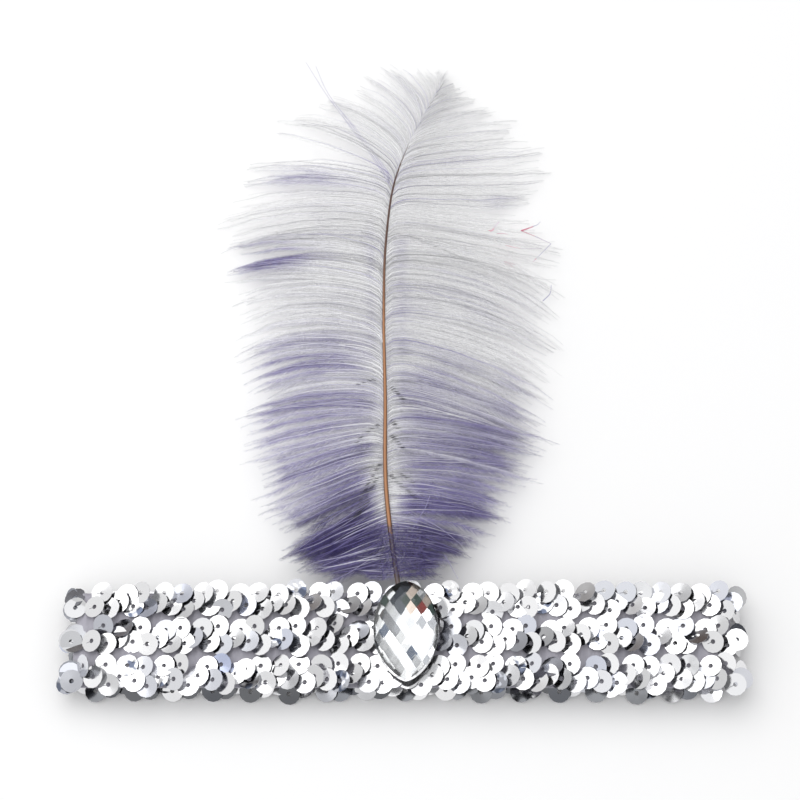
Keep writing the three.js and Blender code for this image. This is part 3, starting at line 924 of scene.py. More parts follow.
def cut_foil(shape, chance):
    """Cuts the stone's flat back into sloping kites by two families of slanting lines."""
    families = []
    for lean in (1, -1):
        across = Vector((FOIL_KITE.y, lean * FOIL_KITE.x, 0)).normalized()
        spacing = (abs(across.x) * FOIL_KITE.x + abs(across.y) * FOIL_KITE.y) / 2
        for line in range(-FOIL_LINES, FOIL_LINES):
            parts = {part for face in foil_faces(shape) for part in (face, *face.edges, *face.verts)}
            bmesh.ops.bisect_plane(shape, geom=list(parts), dist=CUT_GAP, plane_no=across,
                                   plane_co=STONE_MIDDLE + across * spacing * (line + 0.5))
            shape.normal_update()
        families.append((across, spacing, chance.uniform(0, FOIL_RELIEF, 2 * FOIL_LINES)))
    kites = set(foil_faces(shape))
    for point in {point for face in kites for point in face.verts}:
        if all(face in kites for face in point.link_faces):
            for across, spacing, steps in families:
                line = round((point.co - STONE_MIDDLE).dot(across) / spacing - 0.5)
                point.co.z += steps[line + FOIL_LINES]
    return kites


def foil_faces(shape):
    """The faces of the stone's flat back."""
    return [face for face in shape.faces if face.normal.z < BACK_SLOPE]


def paint_foil_reflections(shape, kites, chance):
    """Paints a reflection tint on each kite of the foil, darker near the stone's upper end, and lines the
    girdle with foil.
    """
    layer = shape.faces.layers.float_color["tint"]
    dark_reflections_from = STONE_LOW.y + REFLECTION_DARK_FROM * (STONE_HIGH.y - STONE_LOW.y)
    for face in sorted(kites, key=lambda face: tuple(face.calc_center_median())):
        centre = face.calc_center_median()
        upper = LEFT_REFLECTIONS if centre.x < STONE_MIDDLE.x else RIGHT_REFLECTIONS
        tints = upper if centre.y > dark_reflections_from else LOWER_REFLECTIONS
        chosen = chance.choice(len(tints), p=[tint[1] for tint in tints])
        # Each kite's tint is a painted reflection.
        face[layer] = opaque(tints[chosen][0])
        face.material_index = 1
    for face in set(shape.faces) - kites:
        if face.normal.z < GIRDLE_SLOPE:
            face[layer] = opaque(GIRDLE_TINT)
            face.material_index = 1


def stone_shape(settings):
    """The drop stone with its facets whole, a narrow worn edge between them and kites of foil on its back."""
    chance = np.random.default_rng(STONE_SEED)
    shape = bmesh.new()
    shape.from_mesh(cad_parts["gem"].data)
    shape.faces.layers.float_color.new("tint")
    bmesh.ops.remove_doubles(shape, verts=shape.verts[:], dist=CORNER_GAP)
    bmesh.ops.dissolve_limit(shape, angle_limit=FACET_ANGLE, verts=shape.verts[:], edges=shape.edges[:])
    edges = [edge for edge in shape.edges if edge.calc_face_angle(0) > FACET_ANGLE]
    bmesh.ops.bevel(shape, geom=edges, offset=settings.edge, offset_type="WIDTH", affect="EDGES", segments=1,
                    profile=0.5, material=-1, clamp_overlap=True)
    shape.normal_update()
    paint_foil_reflections(shape, cut_foil(shape, chance), chance)
    return made_mesh("stone", shape)


def stone_finish(settings):
    """Clear moulded stone."""
    clear = new_material("clear stone")
    return clear.principled({
        "Base Color": settings.clear, "Roughness": clear.noise(scale=300.0) * HAZE, "IOR": 1.49,
        "Transmission Weight": 1.0})


def foil_finish():
    """Silver foil behind the stone, in kites whose tints are painted reflections."""
    foil = new_material("silver foil")
    tint = foil.node("ShaderNodeAttribute", {"attribute_name": "tint"})
    creases = foil.noise(scale=600.0)
    return foil.principled({
        "Base Color": tint, "Metallic": 0.9, "Roughness": FOIL_ROUGH + creases * FOIL_CREASED})


class HEADBAND_OT_stone(bpy.types.Operator):
    """Make the drop stone"""

    bl_idname = "headband.stone"
    bl_label = "Stone"

    def execute(self, context):
        settings = context.scene.headband.stone
        add_piece("stone", stone_shape(settings), "gem", ["gem"], stone_finish(settings), foil_finish())
        return {"FINISHED"}


# Shaft

SHAFT_STEPS = 70
SHAFT_SIDES = 10
# The heights in m between which the shaft's colour changes, how far its streaks move that, and how dark its
# sides are: painted shade where the shaft faces aside from the light above.
SHAFT_HEIGHTS = (0.0, 0.21)
STREAK_REACH = 0.02
SIDE_SHADE = 0.85


def shaft_shape(settings):
    """A tapering round shaft extruded ring by ring along its line."""
    line, directions = cubic_line(SHAFT_LINE, SHAFT_STEPS)
    shape = bmesh.new()
    ring = bmesh.ops.create_circle(shape, cap_ends=True, segments=SHAFT_SIDES, radius=1)["verts"]
    edges = [edge for edge in shape.edges if all(point in ring for point in edge.verts)]
    section = [point.co.copy() for point in ring]
    rings = [ring]
    for _ in range(SHAFT_STEPS - 1):
        grown = bmesh.ops.extrude_edge_only(shape, edges=edges)["geom"]
        edges = [part for part in grown if isinstance(part, bmesh.types.BMEdge)]
        rings.append([part for part in grown if isinstance(part, bmesh.types.BMVert)])
    bmesh.ops.contextual_create(shape, geom=edges)
    radii = np.linspace(settings.quill / 2, settings.tip / 2, SHAFT_STEPS)
    for ring, centre, direction, radius in zip(rings, line * MM, directions, radii):
        turn = Vector(direction).to_track_quat("Z", "Y").to_matrix()
        for point, corner in zip(ring, section):
            point.co = Vector(centre) + turn @ (corner * radius)
    bmesh.ops.recalc_face_normals(shape, faces=shape.faces[:])
    return made_mesh("shaft", shape, smooth=True)


def shaft_finish(settings):
    """Horn: grey at the quill, warm brown along the vane and dark near the tip, with painted shade on its
    sides.
    """
    horn = new_material("horn shaft")
    _, height, _ = horn.parts(horn.node("ShaderNodeTexCoord", output=3))
    streaks = horn.noise(scale=250.0)
    share = horn.span(height + (streaks - 0.5) * STREAK_REACH, *SHAFT_HEIGHTS)
    tone = horn.ramp(share, (0.15, settings.base), (0.18, settings.brown), (0.5, settings.brown),
                     (0.66, settings.dark), (0.86, settings.dark), (0.97, settings.end))
    # Painted shade: darker where the surface faces aside rather than up, fading out near the tip.
    _, _, facing = horn.parts(horn.node("ShaderNodeTexCoord", output=1))
    aside = 1 - horn.span(facing, low=0.6, high=0.97)
    sides = SIDE_SHADE * aside * (1 - horn.span(share, low=0.8, high=0.95))
    return horn.principled({"Base Color": horn.mix(sides, tone, settings.edge), "Roughness": 0.35})


class HEADBAND_OT_shaft(bpy.types.Operator):
    """Make the plume's shaft"""

    bl_idname = "headband.shaft"
    bl_label = "Shaft"

    def execute(self, context):
        settings = context.scene.headband.shaft
        add_piece("shaft", shaft_shape(settings), "shaft", ["feather_shaft"], shaft_finish(settings))
        return {"FINISHED"}


# Plume

PLUME_SEED = 5
PLUME_PARTS = (("base", 0.0, 0.28), ("middle", 0.28, 0.6), ("top", 0.6, 2.0))
BARB_STEPS = 16
BARB_SIDES = 3
BARB_TAPER = 0.75
SPINE_STEPS = 400
CURL_POWER = 1.8
# Past these shares of the vane the barbs leave the shaft turned this far towards its tip, over this many mm.
ROOT_TURN = math.radians(46)
ROOT_TURN_SHARES = (0.12, 0.28)
ROOT_REACH = 3.2
# The barbs stick together in clumps of so many, which turn and end alike and draw their ends together.
CLUMP_SMALLEST, CLUMP_LARGEST = 4, 13
CLUMP_TURN = math.radians(1.2)
CLUMP_LONGER = 0.03
CLUMP_PULL = ((0.0, 0.1), (0.4, 0.15), (0.55, 0.45), (0.7, 0.5), (1.0, 0.3))
# How far single barbs turn aside, in degrees, and how unequal they are: share of the vane, spread.
BARB_TURN = ((0.0, 7.0), (0.1, 4.0), (0.2, 2.0), (0.3, 1.6), (1.0, 1.6))
BARB_LONGER = ((0.0, 0.2), (0.12, 0.1), (0.25, 0.08), (1.0, 0.08))
LONGER_LIMITS = (0.5, 1.4)
# A few barbs past this share of the vane stray from their clump: they turn aside, and their tips rise, in mm.
STRAY_SHARE = 0.07
STRAY_FROM = 0.2
STRAY_TURN = math.radians(9)
STRAY_LIFT = 1.2
# How far the tip of any barb rises or sinks, and the wave along it, in mm.
LIFT_SPREAD = 0.35
WAVE_LENGTH = 15.0
WAVE_HEIGHT = 0.35
# A barb bows up in its middle, fully from this length in mm, and falls to its tip's height, later with a
# higher power. None lies lower than this, in mm.
BOW_HEIGHT, BOW_FULL_FROM = 1.2, 40
FALL_POWER = 1.6
LOWEST_BARB = 0.5
# How far the dye varies: a factor for each clump, then amounts for each barb and each clump.
DYE_FACTOR_SPREAD, BARB_DYE_SPREAD, CLUMP_DYE_SPREAD = 0.13, 0.06, 0.04
# The down along a barb is a thin strip with a raised middle: how far its edges sag for its width, how wide it
# is at the shaft and in how many mm it grows by its whole width, over what share of the barb it tapers at the
# tip and to what width, how far its streaks lean, and how far on the next barb's streaks start, in mm.
STRIP_SAG = 0.22
STRIP_ROOT = 0.2
STRIP_GROWTH = 8.0
STRIP_TAPER = 0.16
STRIP_NARROWEST = 0.04
STRIP_LEAN = 1.9
STRIP_GAP = 61.0
# Strands of down: where along a barb they stand, with a power under 1 that crowds them to its tip, how they
# lean and rise, how long they are, how short at the shaft and in how many mm they grow by their whole length,
# how short near the barb's tip, and how high the ridge at their root is for its width.
STRAND_FROM, STRAND_SPAN, STRAND_CROWDING = 0.02, 0.97, 0.9
STRAND_LEAN = math.radians(24)
STRAND_LEAN_SPREAD = math.radians(12)
STRAND_LIFT = 0.25
STRAND_REACH = (0.5, 1.2)
STRAND_ROOT, STRAND_GROWTH = 0.35, 6
STRAND_END, STRAND_END_SPAN, STRAND_SHORTEST = 1.25, 0.5, 0.3
STRAND_RIDGE = 0.8
# How pale the barbs are close to the shaft: share of the vane, paleness.
PALE_ROOTS = ((0.0, 0.1), (0.06, 0.15), (0.1, 0.5), (0.13, 0.95), (0.7, 0.95), (0.85, 0.5), (1.0, 0.0))
PALE_REACH = 6.5
PALE_CLUMP_SPREAD, PALE_BARB_SPREAD = 0.3, 0.2
PALE_LIMITS = (0.4, 2.0)
# Share of the barbs that are shaded, how deeply, and where along them the shade is deepest, in mm.
SHADED = 0.34
SHADED_DEPTH = (0.4, 1.0)
ROOT_SHADE_AT, ROOT_SHADE_SPAN = 6.0, 4.5
# How dark the shaded barbs' down is, and how much of a barb's end its down takes to thin away: share, amount.
DOWN_SHADE = ((0.0, 0.2), (0.3, 0.12), (0.45, 0.02), (1.0, 0.02))
TIP_FADE = ((0.0, 0.16), (0.38, 0.14), (0.5, 0.45), (1.0, 0.55))
# Where along a barb its down has ended, and how much fuller it is out from the shaft: share, amount.
DOWN_END = 0.96
FULLER_OUT = ((0.0, 0.0), (0.4, 0.0), (0.48, 0.5), (0.7, 0.5), (1.0, 0.3))
# How dark the shaded barbs' cores are close to the shaft, and all along: share of the vane, darkness.
CORE_ROOTS = ((0.0, 0.3), (0.2, 0.9), (0.35, 0.8), (0.5, 0.65), (0.65, 0.5), (0.8, 0.3), (1.0, 0.1))
CORE_LINES = ((0.0, 0.0), (0.32, 0.1), (0.45, 0.6), (0.75, 0.65), (0.88, 0.4), (1.0, 0.15))
# How dark the cores' bare tips are, and where along the barb they begin to darken.
CORE_TIPS, CORE_TIPS_FROM = 0.45, 0.75
# A barb's core is nearly the same pale lilac in pale and in dark down, and lies a little above its down.
CORE_DYE, CORE_DYE_SPREAD = 0.08, 0.12
CORE_FOLLOWS = 0.45
CORE_LIFT = 0.55
CORE_LIFT_FROM, CORE_LIFT_FULL = 1.2, 6.0
# Deeper dyed places: side, share of the vane and its spread, place along the barb and its spread, depth.
DYE_SPOTS = (
    (-1, 0.552, 0.030, 0.80, 0.28, 0.76),
    (-1, 0.722, 0.015, 0.64, 0.22, 0.34),
    (-1, 0.560, 0.120, 0.12, 0.05, 0.26),
    (-1, 0.185, 0.025, 0.72, 0.25, -0.35),
    (-1, 0.115, 0.030, 0.85, 0.25, 0.30),
    (1, 0.560, 0.030, 0.70, 0.30, 0.10),
    (1, 0.705, 0.012, 0.80, 0.14, 0.30),
    (1, 0.540, 0.190, 0.095, 0.05, 0.28),
)
# Dark creases across the roots, painted shadow where the down parts: a dash on each barb, lifted above it.
# Columns: side, share of the vane at the shaft, mm of barb on each share, where along the barb it starts and
# ends in mm.
CREASE_SHADOWS = (
    (-1, 0.204, 160.0, 1.5, 13.0),
    (-1, 0.186, 190.0, 2.5, 12.0),
    (-1, 0.170, 260.0, 6.0, 11.0),
    (-1, 0.268, 275.0, 2.0, 10.0),
    (-1, 0.345, 400.0, 5.0, 11.0),
    (1, 0.184, 160.0, 1.5, 5.0),
    (1, 0.176, 240.0, 3.0, 10.0),
    (1, 0.190, 300.0, 5.0, 9.0),
    (1, 0.256, 150.0, 2.0, 6.5),
    (1, 0.282, 150.0, 2.0, 5.0),
    (1, 0.345, 150.0, 2.0, 7.0),
)
DASH_LENGTH = 1.6
DASH_WIDTH = 0.3
DASH_DYE, DASH_SHADE = 0.2, 0.95
DASH_LIFT = 1.2
# Single strands that lie loose over the rest: dye depth, red stain, then the line's points in mm.
LOOSE_STRANDS = (
    (0.35, 0, (-4.4, 163, 9.4), (-10.6, 174.5, 7.8), (-17.8, 186.4, 6.4), (-25.7, 198.6, 5.4),
     (-34.6, 215.3, 4)),
    (0.35, 0, (-4.2, 164, 9.4), (-10.3, 175, 8), (-17.4, 186.8, 6.6), (-27.2, 202.8, 5.4), (-31, 213.6, 4)),
    (0.3, 0, (-4, 165, 9.4), (-10, 175.5, 8), (-17, 187, 6.6), (-24, 197, 5.6)),
    (0.3, 0, (-4.6, 162, 9.4), (-10.9, 174, 8), (-18.1, 186, 6.6), (-25.2, 198, 5.6)),
    (0.5, 0, (8.6, 45, 15.5), (6.8, 40, 16), (5.2, 37.4, 15.8), (2.6, 32.5, 15.6)),
    (0.4, 0, (5.4, 37.6, 15.4), (12, 34.2, 14), (18.6, 29.4, 12)),
    (0.4, 0, (13.0, 26, 12.6), (15.2, 22, 12.6), (17.2, 18, 12.8)),
    (0.4, 0, (-20.6, 19.8, 11), (-22, 18, 11.4), (-23, 16.8, 12.4)),
    (0.3, 0.9, (40.6, 146.4, 4.4), (42.6, 147.2, 4.2), (44.8, 148.3, 4)),
    (0.3, 0.9, (40.8, 146.2, 4.4), (42.8, 147.0, 4.3), (44.9, 148.0, 4)),
    (0.3, 0.8, (40.6, 146.3, 4.4), (43, 145.3, 4.2), (45.4, 144.3, 4)),
    (0.4, 0.1, (45.4, 144.3, 4), (48, 143.1, 3.7), (50.8, 141.8, 3.4)),
    (0.4, 0.0, (50.8, 141.8, 3.4), (47, 137.6, 3.4), (44.6, 135, 3.4)),
    (0.4, 0.0, (44.6, 148.1, 4), (46.4, 149, 3.8), (47.4, 150.2, 3.6)),
    (0.3, 0.9, (45.6, 136, 3.4), (44.9, 135.4, 3.4), (44.4, 134.8, 3.4)),
    (0.3, 0.9, (35.2, 140, 5.4), (37.6, 139.6, 5), (40, 139.3, 4.6)),
    (0.3, 0.1, (40, 139.3, 4.6), (44, 139.5, 4), (47.7, 139.9, 3.4)),
    (0.3, 0.2, (33, 148.7, 6.4), (31.6, 146.8, 6.4), (30.2, 144.8, 6.4)),
    (0.3, 1.0, (31.2, 146, 6.6), (30.6, 145.3, 6.6), (30, 144.7, 6.6)),
    (0.3, 1.0, (29.4, 145.2, 6.6), (30.2, 145, 6.6), (31, 145.4, 6.6)),
    (0.2, 0.5, (32.2, 144, 6.4), (34, 144.2, 6.2), (36, 144, 6)),
    (0.2, 0.5, (34.4, 133.8, 5.4), (36, 133, 5.4), (37.8, 131.5, 5.4)),
    (0.2, 0.5, (34.6, 132.8, 5.4), (36.2, 132, 5.4), (37.4, 131.9, 5.4)),
    (0.2, 0.5, (35, 133.9, 5.4), (36.6, 133.3, 5.4), (38, 132.6, 5.4)),
    (0.5, 0, (47.4, 120, 3), (50, 123, 3), (50.4, 126, 3)),
)
LOOSE_WIDTH = 0.3
LOOSE_TAPER = 0.5
# Fluff round the quill in mm: how many strands, where their roots lie, how far they turn aside and fall, how
# long they are, how far they bend, how wide they are, how low they reach, and their dye.
FLUFF_COUNT = 260
FLUFF_ROOTS = ((-7.0, 20.0, 14.4), (7.0, 35.0, 15.8))
FLUFF_TURN_SPREAD = 0.9
FLUFF_FALL = -0.1
FLUFF_REACH = (3.0, 9.0)
FLUFF_BEND = 3.0
FLUFF_WIDTH = 0.13
FLUFF_LOWEST = 17.2
FLUFF_DYE, FLUFF_DYE_SPREAD, FLUFF_DYE_LIMITS = 0.8, 0.22, (0.35, 1.0)
# How far patches move the dye's depth, and the depths at which barbs are pale, lilac and purple.
DYE_PATCHES = 0.35
PALE_AT, LILAC_AT, PURPLE_AT = 0.12, 0.55, 1.0
# How fine the down's streaks are along and across its strip.
STREAK_SCALE = (2.6, 0.5, 0.0)


def vane(column, share):
    """A column of the vane's table at any share of the vane."""
    return np.interp(share, VANE["share"], VANE[column])


def table_at(share, table):
    """A table of (share of the vane, value) at any share of the vane."""
    return np.interp(share, *np.array(table).T)


def unit(vectors):
    """Vectors made one long."""
    return vectors / np.linalg.norm(vectors, axis=-1, keepdims=True)


def bell(values, middle, spread):
    """1 at the middle, falling smoothly to 0 on both sides."""
    return np.exp(-((values - middle) / spread) ** 2)


class Barbs:
    """One side's barbs in mm: their middle lines, shares of the vane, lengths, dye and darkness."""

    def __init__(self, side, count, chance):
        suffix = "l" if side < 0 else "r"
        self.side = side
        self.along = np.linspace(0, 1, BARB_STEPS + 1)
        self.share = np.sort((np.arange(count) + chance.uniform(0, 1, count)) / count)
        sizes = chance.integers(CLUMP_SMALLEST, CLUMP_LARGEST + 1, count)
        clump = np.repeat(np.arange(count), sizes)[:count]
        stray = (chance.uniform(0, 1, count) < STRAY_SHARE) & (self.share > STRAY_FROM)
        turn = chance.normal(0, CLUMP_TURN, count)[clump]
        turn += chance.normal(0, 1, count) * np.radians(table_at(self.share, BARB_TURN))
        turn += np.where(stray, chance.normal(0, STRAY_TURN, count), 0)
        longer = 1 + chance.normal(0, CLUMP_LONGER, count)[clump]
        longer += chance.normal(0, 1, count) * table_at(self.share, BARB_LONGER)
        self.length = vane("long_" + suffix, self.share) * np.clip(longer, *LONGER_LIMITS)
        rise = np.radians(vane("rise_" + suffix, self.share)) + turn
        self.lines = self.flow(rise, np.radians(vane("curl_" + suffix, self.share)))
        self.gather(clump)
        self.ripple(chance)
        self.settle(np.where(stray, STRAY_LIFT, 0) + chance.normal(0, LIFT_SPREAD, count))
        self.dye = vane("dye_" + suffix, self.share) * (1 + chance.normal(0, DYE_FACTOR_SPREAD, count)[clump])
        own = chance.normal(0, BARB_DYE_SPREAD, count)
        self.dye += own + chance.normal(0, CLUMP_DYE_SPREAD, count)[clump]
        pale = chance.normal(1, PALE_CLUMP_SPREAD, count)[clump] + chance.normal(0, PALE_BARB_SPREAD, count)
        self.pale = PALE_REACH * np.clip(pale, *PALE_LIMITS)
        self.core = CORE_DYE + chance.normal(0, CORE_DYE_SPREAD, count)
        self.shade = np.where(chance.uniform(0, 1, count) < SHADED, chance.uniform(*SHADED_DEPTH, count), 0)

    def run(self):
        """How far along each barb its points lie."""
        return self.along * self.length[:, None]

    def flow(self, rise, curl):
        """Lines that leave the shaft towards its tip, bend out and then droop or rise."""
        spine, _ = cubic_line(SHAFT_LINE, SPINE_STEPS)
        at = (VANE_START + (1 - VANE_START) * self.share) * (SPINE_STEPS - 1)
        root = line_points(at, np.arange(SPINE_STEPS), spine)
        turn = ROOT_TURN * np.interp(self.share, ROOT_TURN_SHARES, (0, 1))
        heading = rise[:, None] + curl[:, None] * (1 - 2 * self.along ** CURL_POWER)
        heading += turn[:, None] * np.exp(-self.run() / ROOT_REACH)
        step = (self.length / BARB_STEPS)[:, None]
        moves = np.stack((self.side * np.cos(heading) * step, np.sin(heading) * step, 0 * heading), axis=-1)
        return root[:, None, :] + np.cumsum(moves, axis=1) - moves

    def gather(self, clump):
        """Draws the ends of each clump together."""
        total = np.zeros((clump[-1] + 1, *self.lines.shape[1:]))
        np.add.at(total, clump, self.lines)
        middle = total / np.bincount(clump)[:, None, None]
        pull = table_at(self.share, CLUMP_PULL)[:, None] * self.along ** 2
        self.lines[..., :2] += ((middle[clump] - self.lines) * pull[..., None])[..., :2]

    def ripple(self, chance):
        """A slight wave along each barb."""
        phase = chance.uniform(0, 2 * math.pi, len(self.share))
        turns = 2 * math.pi * self.run() / WAVE_LENGTH + phase[:, None]
        self.lines[..., 1] += WAVE_HEIGHT * np.sin(turns) * self.along

    def settle(self, lift):
        """Brings each barb from the shaft's height down to its tip's height, and raises it by its lift."""
        tip = vane("tip", self.share)[:, None]
        root = self.lines[:, :1, 2]
        height = BOW_HEIGHT * np.minimum(1, self.length / BOW_FULL_FROM)
        bow = np.sin(math.pi * self.along)[None, :] * height[:, None]
        level = root + (tip - root) * self.along[None, :] ** FALL_POWER + bow + lift[:, None] * self.along
        self.lines[..., 2] = np.maximum(level, LOWEST_BARB)

    def part(self, low, high):
        """The barbs between two shares of the vane."""
        some = copy.copy(self)
        chosen = (self.share >= low) & (self.share < high)
        for name in ("share", "length", "lines", "dye", "pale", "core", "shade"):
            setattr(some, name, getattr(self, name)[chosen])
        return some

    def paint(self, barb, along, core):
        """Dye depth, darkness, stain and cover at places along barbs."""
        share, run = self.share[barb], along * self.length[barb]
        pale = table_at(share, PALE_ROOTS) * bell(run, 0, self.pale[barb])
        dye = self.dye[barb] * (1 - pale)
        dark = self.shade[barb] * table_at(share, DOWN_SHADE)
        cover = vane("cover", share) * (1 + table_at(share, FULLER_OUT) * (along - 0.5))
        cover = cover * np.clip((DOWN_END - along) / table_at(share, TIP_FADE), 0, 1)
        for side, at, spread, place, reach, depth in DYE_SPOTS:
            if side == self.side:
                spot = depth * bell(share, at, spread) * bell(along, place, reach)
                dye, cover = dye + spot, cover + spot
        if core:
            dye = self.core[barb] + CORE_FOLLOWS * dye
            root = bell(run, ROOT_SHADE_AT, ROOT_SHADE_SPAN) * table_at(share, CORE_ROOTS)
            dark = np.maximum(root, table_at(share, CORE_LINES)) * self.shade[barb]
            tip = np.clip((along - CORE_TIPS_FROM) / (1 - CORE_TIPS_FROM), 0, 1)
            dark = np.maximum(dark, CORE_TIPS * tip)
        return np.stack((np.clip(dye, 0, 1), np.clip(dark, 0, 1), 0 * dye, np.clip(cover, 0, 1)), axis=-1)

    def paint_rings(self, corners, core):
        """The paint of tubes with so many corners round every barb."""
        count, steps = self.lines.shape[:2]
        barb = np.repeat(np.arange(count), steps * corners)
        return self.paint(barb, np.tile(np.repeat(self.along, corners), count), core)


def tubes(lines, sides, ups):
    """Closed tubes round lines, from each corner's offset aside and up, all in mm: points and triangles."""
    count, steps, corners = sides.shape
    forward = unit(np.gradient(lines, axis=1))
    side = unit(np.cross((0.0, 0.0, 1.0), forward))
    up = np.cross(forward, side)
    points = (lines[:, :, None, :] + sides[..., None] * side[:, :, None, :]
              + ups[..., None] * up[:, :, None, :])
    corner = np.arange(steps * corners).reshape(steps, corners)
    near, far = corner[:-1], corner[1:]
    near_next, far_next = np.roll(near, -1, axis=1), np.roll(far, -1, axis=1)
    wall = np.concatenate((np.stack((near, near_next, far_next), -1).reshape(-1, 3),
                           np.stack((near, far_next, far), -1).reshape(-1, 3),
                           corner[:1, ::-1], corner[-1:]))
    return points.reshape(-1, 3) * MM, repeated_faces(wall, count, steps * corners)


def round_tubes(lines, radius):
    """Tubes of a few sides with a radius at each step: points and triangles."""
    turns = 2 * math.pi * np.arange(BARB_SIDES) / BARB_SIDES
    wide = np.broadcast_to(radius, lines.shape[:2])[..., None]
    return tubes(lines, wide * np.cos(turns), wide * np.sin(turns))


def barb_cores(barbs, settings):
    """The tapering core of every barb: points, triangles and paint."""
    raised = barbs.lines.copy()
    raised[..., 2] += np.interp(barbs.run(), (CORE_LIFT_FROM, CORE_LIFT_FULL), (0, CORE_LIFT))
    points, faces = round_tubes(raised, settings.barb / MM / 2 * (1 - BARB_TAPER * barbs.along))
    return points, faces, barbs.paint_rings(BARB_SIDES, True)


def crease_shadow_dashes(barbs):
    """A short dark dash of painted shadow on each barb that a crease crosses: points, triangles and paint."""
    dashes = []
    for side, at, slope, start, end in CREASE_SHADOWS:
        crossing = (at - barbs.share) * slope
        for barb in np.flatnonzero((side == barbs.side) & (crossing > start) & (crossing < end)):
            run = crossing[barb] + DASH_LENGTH * np.array((-0.5, 0.0, 0.5))
            dashes.append(line_points(run / barbs.length[barb], barbs.along, barbs.lines[barb]))
    lines = np.array(dashes).reshape(-1, 3, 3) + np.array((0, 0, DASH_LIFT))
    points, faces = round_tubes(lines, DASH_WIDTH / 2 * np.array((0.5, 1.0, 0.5)))
    return points, faces, np.tile((DASH_DYE, DASH_SHADE, 0.0, 1.0), (len(points), 1))


def down_strips(barbs):
    """The down of every barb as a thin strip: points, triangles, paint, and place along and across it."""
    count, steps = barbs.lines.shape[:2]
    run = barbs.run()
    wide = vane("wide", barbs.share)[:, None] * np.minimum(1, STRIP_ROOT + run / STRIP_GROWTH)
    wide = wide * np.clip((1 - barbs.along) / STRIP_TAPER, STRIP_NARROWEST, 1)
    across = np.stack((wide, 0 * wide, wide), axis=-1)
    points, faces = tubes(barbs.lines, np.stack((wide, 0 * wide, -wide), axis=-1), -STRIP_SAG * across)
    paint = barbs.paint_rings(3, False)
    paint[:, 3] *= np.tile((0.0, 1.0, 0.0), count * steps)
    place = run[..., None] - STRIP_LEAN * across + STRIP_GAP * np.arange(count)[:, None, None]
    return points, faces, paint, np.stack((place, across), axis=-1).reshape(-1, 2)


def down_strands(barbs, settings, chance):
    """Fine strands of down on both edges of every barb: points, triangles and paint."""
    number = np.round(barbs.length * settings.strands).astype(int)
    barb = np.repeat(np.arange(len(number)), number)
    along = STRAND_FROM + STRAND_SPAN * chance.uniform(0, 1, len(barb)) ** STRAND_CROWDING
    at = along * BARB_STEPS
    step = np.minimum(at.astype(int), BARB_STEPS - 1)
    start, end = barbs.lines[barb, step], barbs.lines[barb, step + 1]
    root = start + (end - start) * (at - step)[:, None]
    forward = unit(end - start)
    edge = np.where(chance.uniform(0, 1, len(barb)) < 0.5, -1.0, 1.0)[:, None]
    side = unit(np.cross((0.0, 0.0, 1.0), forward)) * edge
    lean = chance.normal(STRAND_LEAN, STRAND_LEAN_SPREAD, len(barb))[:, None]
    lift = chance.normal(0, STRAND_LIFT, len(barb))[:, None]
    heading = unit(forward * np.cos(lean) + side * np.sin(lean) + np.array((0, 0, 1.0)) * lift)
    fuller = np.minimum(1, STRAND_ROOT + along * barbs.length[barb] / STRAND_GROWTH)
    fuller = fuller * np.clip((STRAND_END - along) / STRAND_END_SPAN, STRAND_SHORTEST, 1)
    reach = settings.strand / MM * chance.uniform(*STRAND_REACH, len(barb)) * fuller
    tip = root + heading * reach[:, None]
    tip[:, 2] = np.maximum(tip[:, 2], LOWEST_BARB / 2)
    width = settings.strand_width / MM
    low = root - forward * width / 2
    high = root + forward * width / 2
    ridge = root + np.array((0, 0, width * STRAND_RIDGE))
    inside_out = np.einsum("ij,ij->i", np.cross(high - low, ridge - low), tip - low) > 0
    low[inside_out], high[inside_out] = high[inside_out], low[inside_out].copy()
    corners = (low, high, ridge, tip)
    points = np.stack(corners, axis=1).reshape(-1, 3) * MM
    spike = np.array(((0, 1, 2), (0, 3, 1), (1, 3, 2), (2, 3, 0)))
    faces = repeated_faces(spike, len(barb), len(corners))
    return points, faces, barbs.paint(np.repeat(barb, len(corners)), np.repeat(along, len(corners)), False)


def plume_tone(nodes, settings, dye, dark, stain):
    """The colour of dyed barbs and down: pale, lilac or purple by its dye depth."""
    depth = dye + (nodes.noise(scale=60.0, detail=3.0) - 0.5) * DYE_PATCHES
    tone = nodes.ramp(depth, (PALE_AT, settings.pale), (LILAC_AT, settings.lilac),
                      (PURPLE_AT, settings.purple))
    return nodes.mix(stain, nodes.mix(dark, tone, settings.dark), settings.stain)


def barb_finish(settings):
    """Dyed barbs."""
    barb = new_material("dyed barb")
    dye, dark, stain, _ = barb.channels("dye")
    return barb.principled({
        "Base Color": plume_tone(barb, settings, dye, dark, stain), "Roughness": 0.7,
        "Specular IOR Level": 0.2})


def down_finish(settings):
    """Soft down: fine streaks that lean out from the barb and thin away at the strip's edges."""
    down = new_material("dyed down")
    dye, dark, stain, cover = down.channels("dye")
    strip = down.node("ShaderNodeUVMap", {"uv_map": "strip"})
    fine = down.node("ShaderNodeVectorMath", {"operation": "MULTIPLY"}, {0: strip, 1: STREAK_SCALE})
    streaks = down.noise(scale=1.0, detail=2.0, vector=fine)
    return down.principled({
        "Base Color": plume_tone(down, settings, dye, dark, stain), "Roughness": 0.9,
        "Specular IOR Level": 0.1, "Alpha": cover * down.span(streaks, low=0.3, high=0.62)})


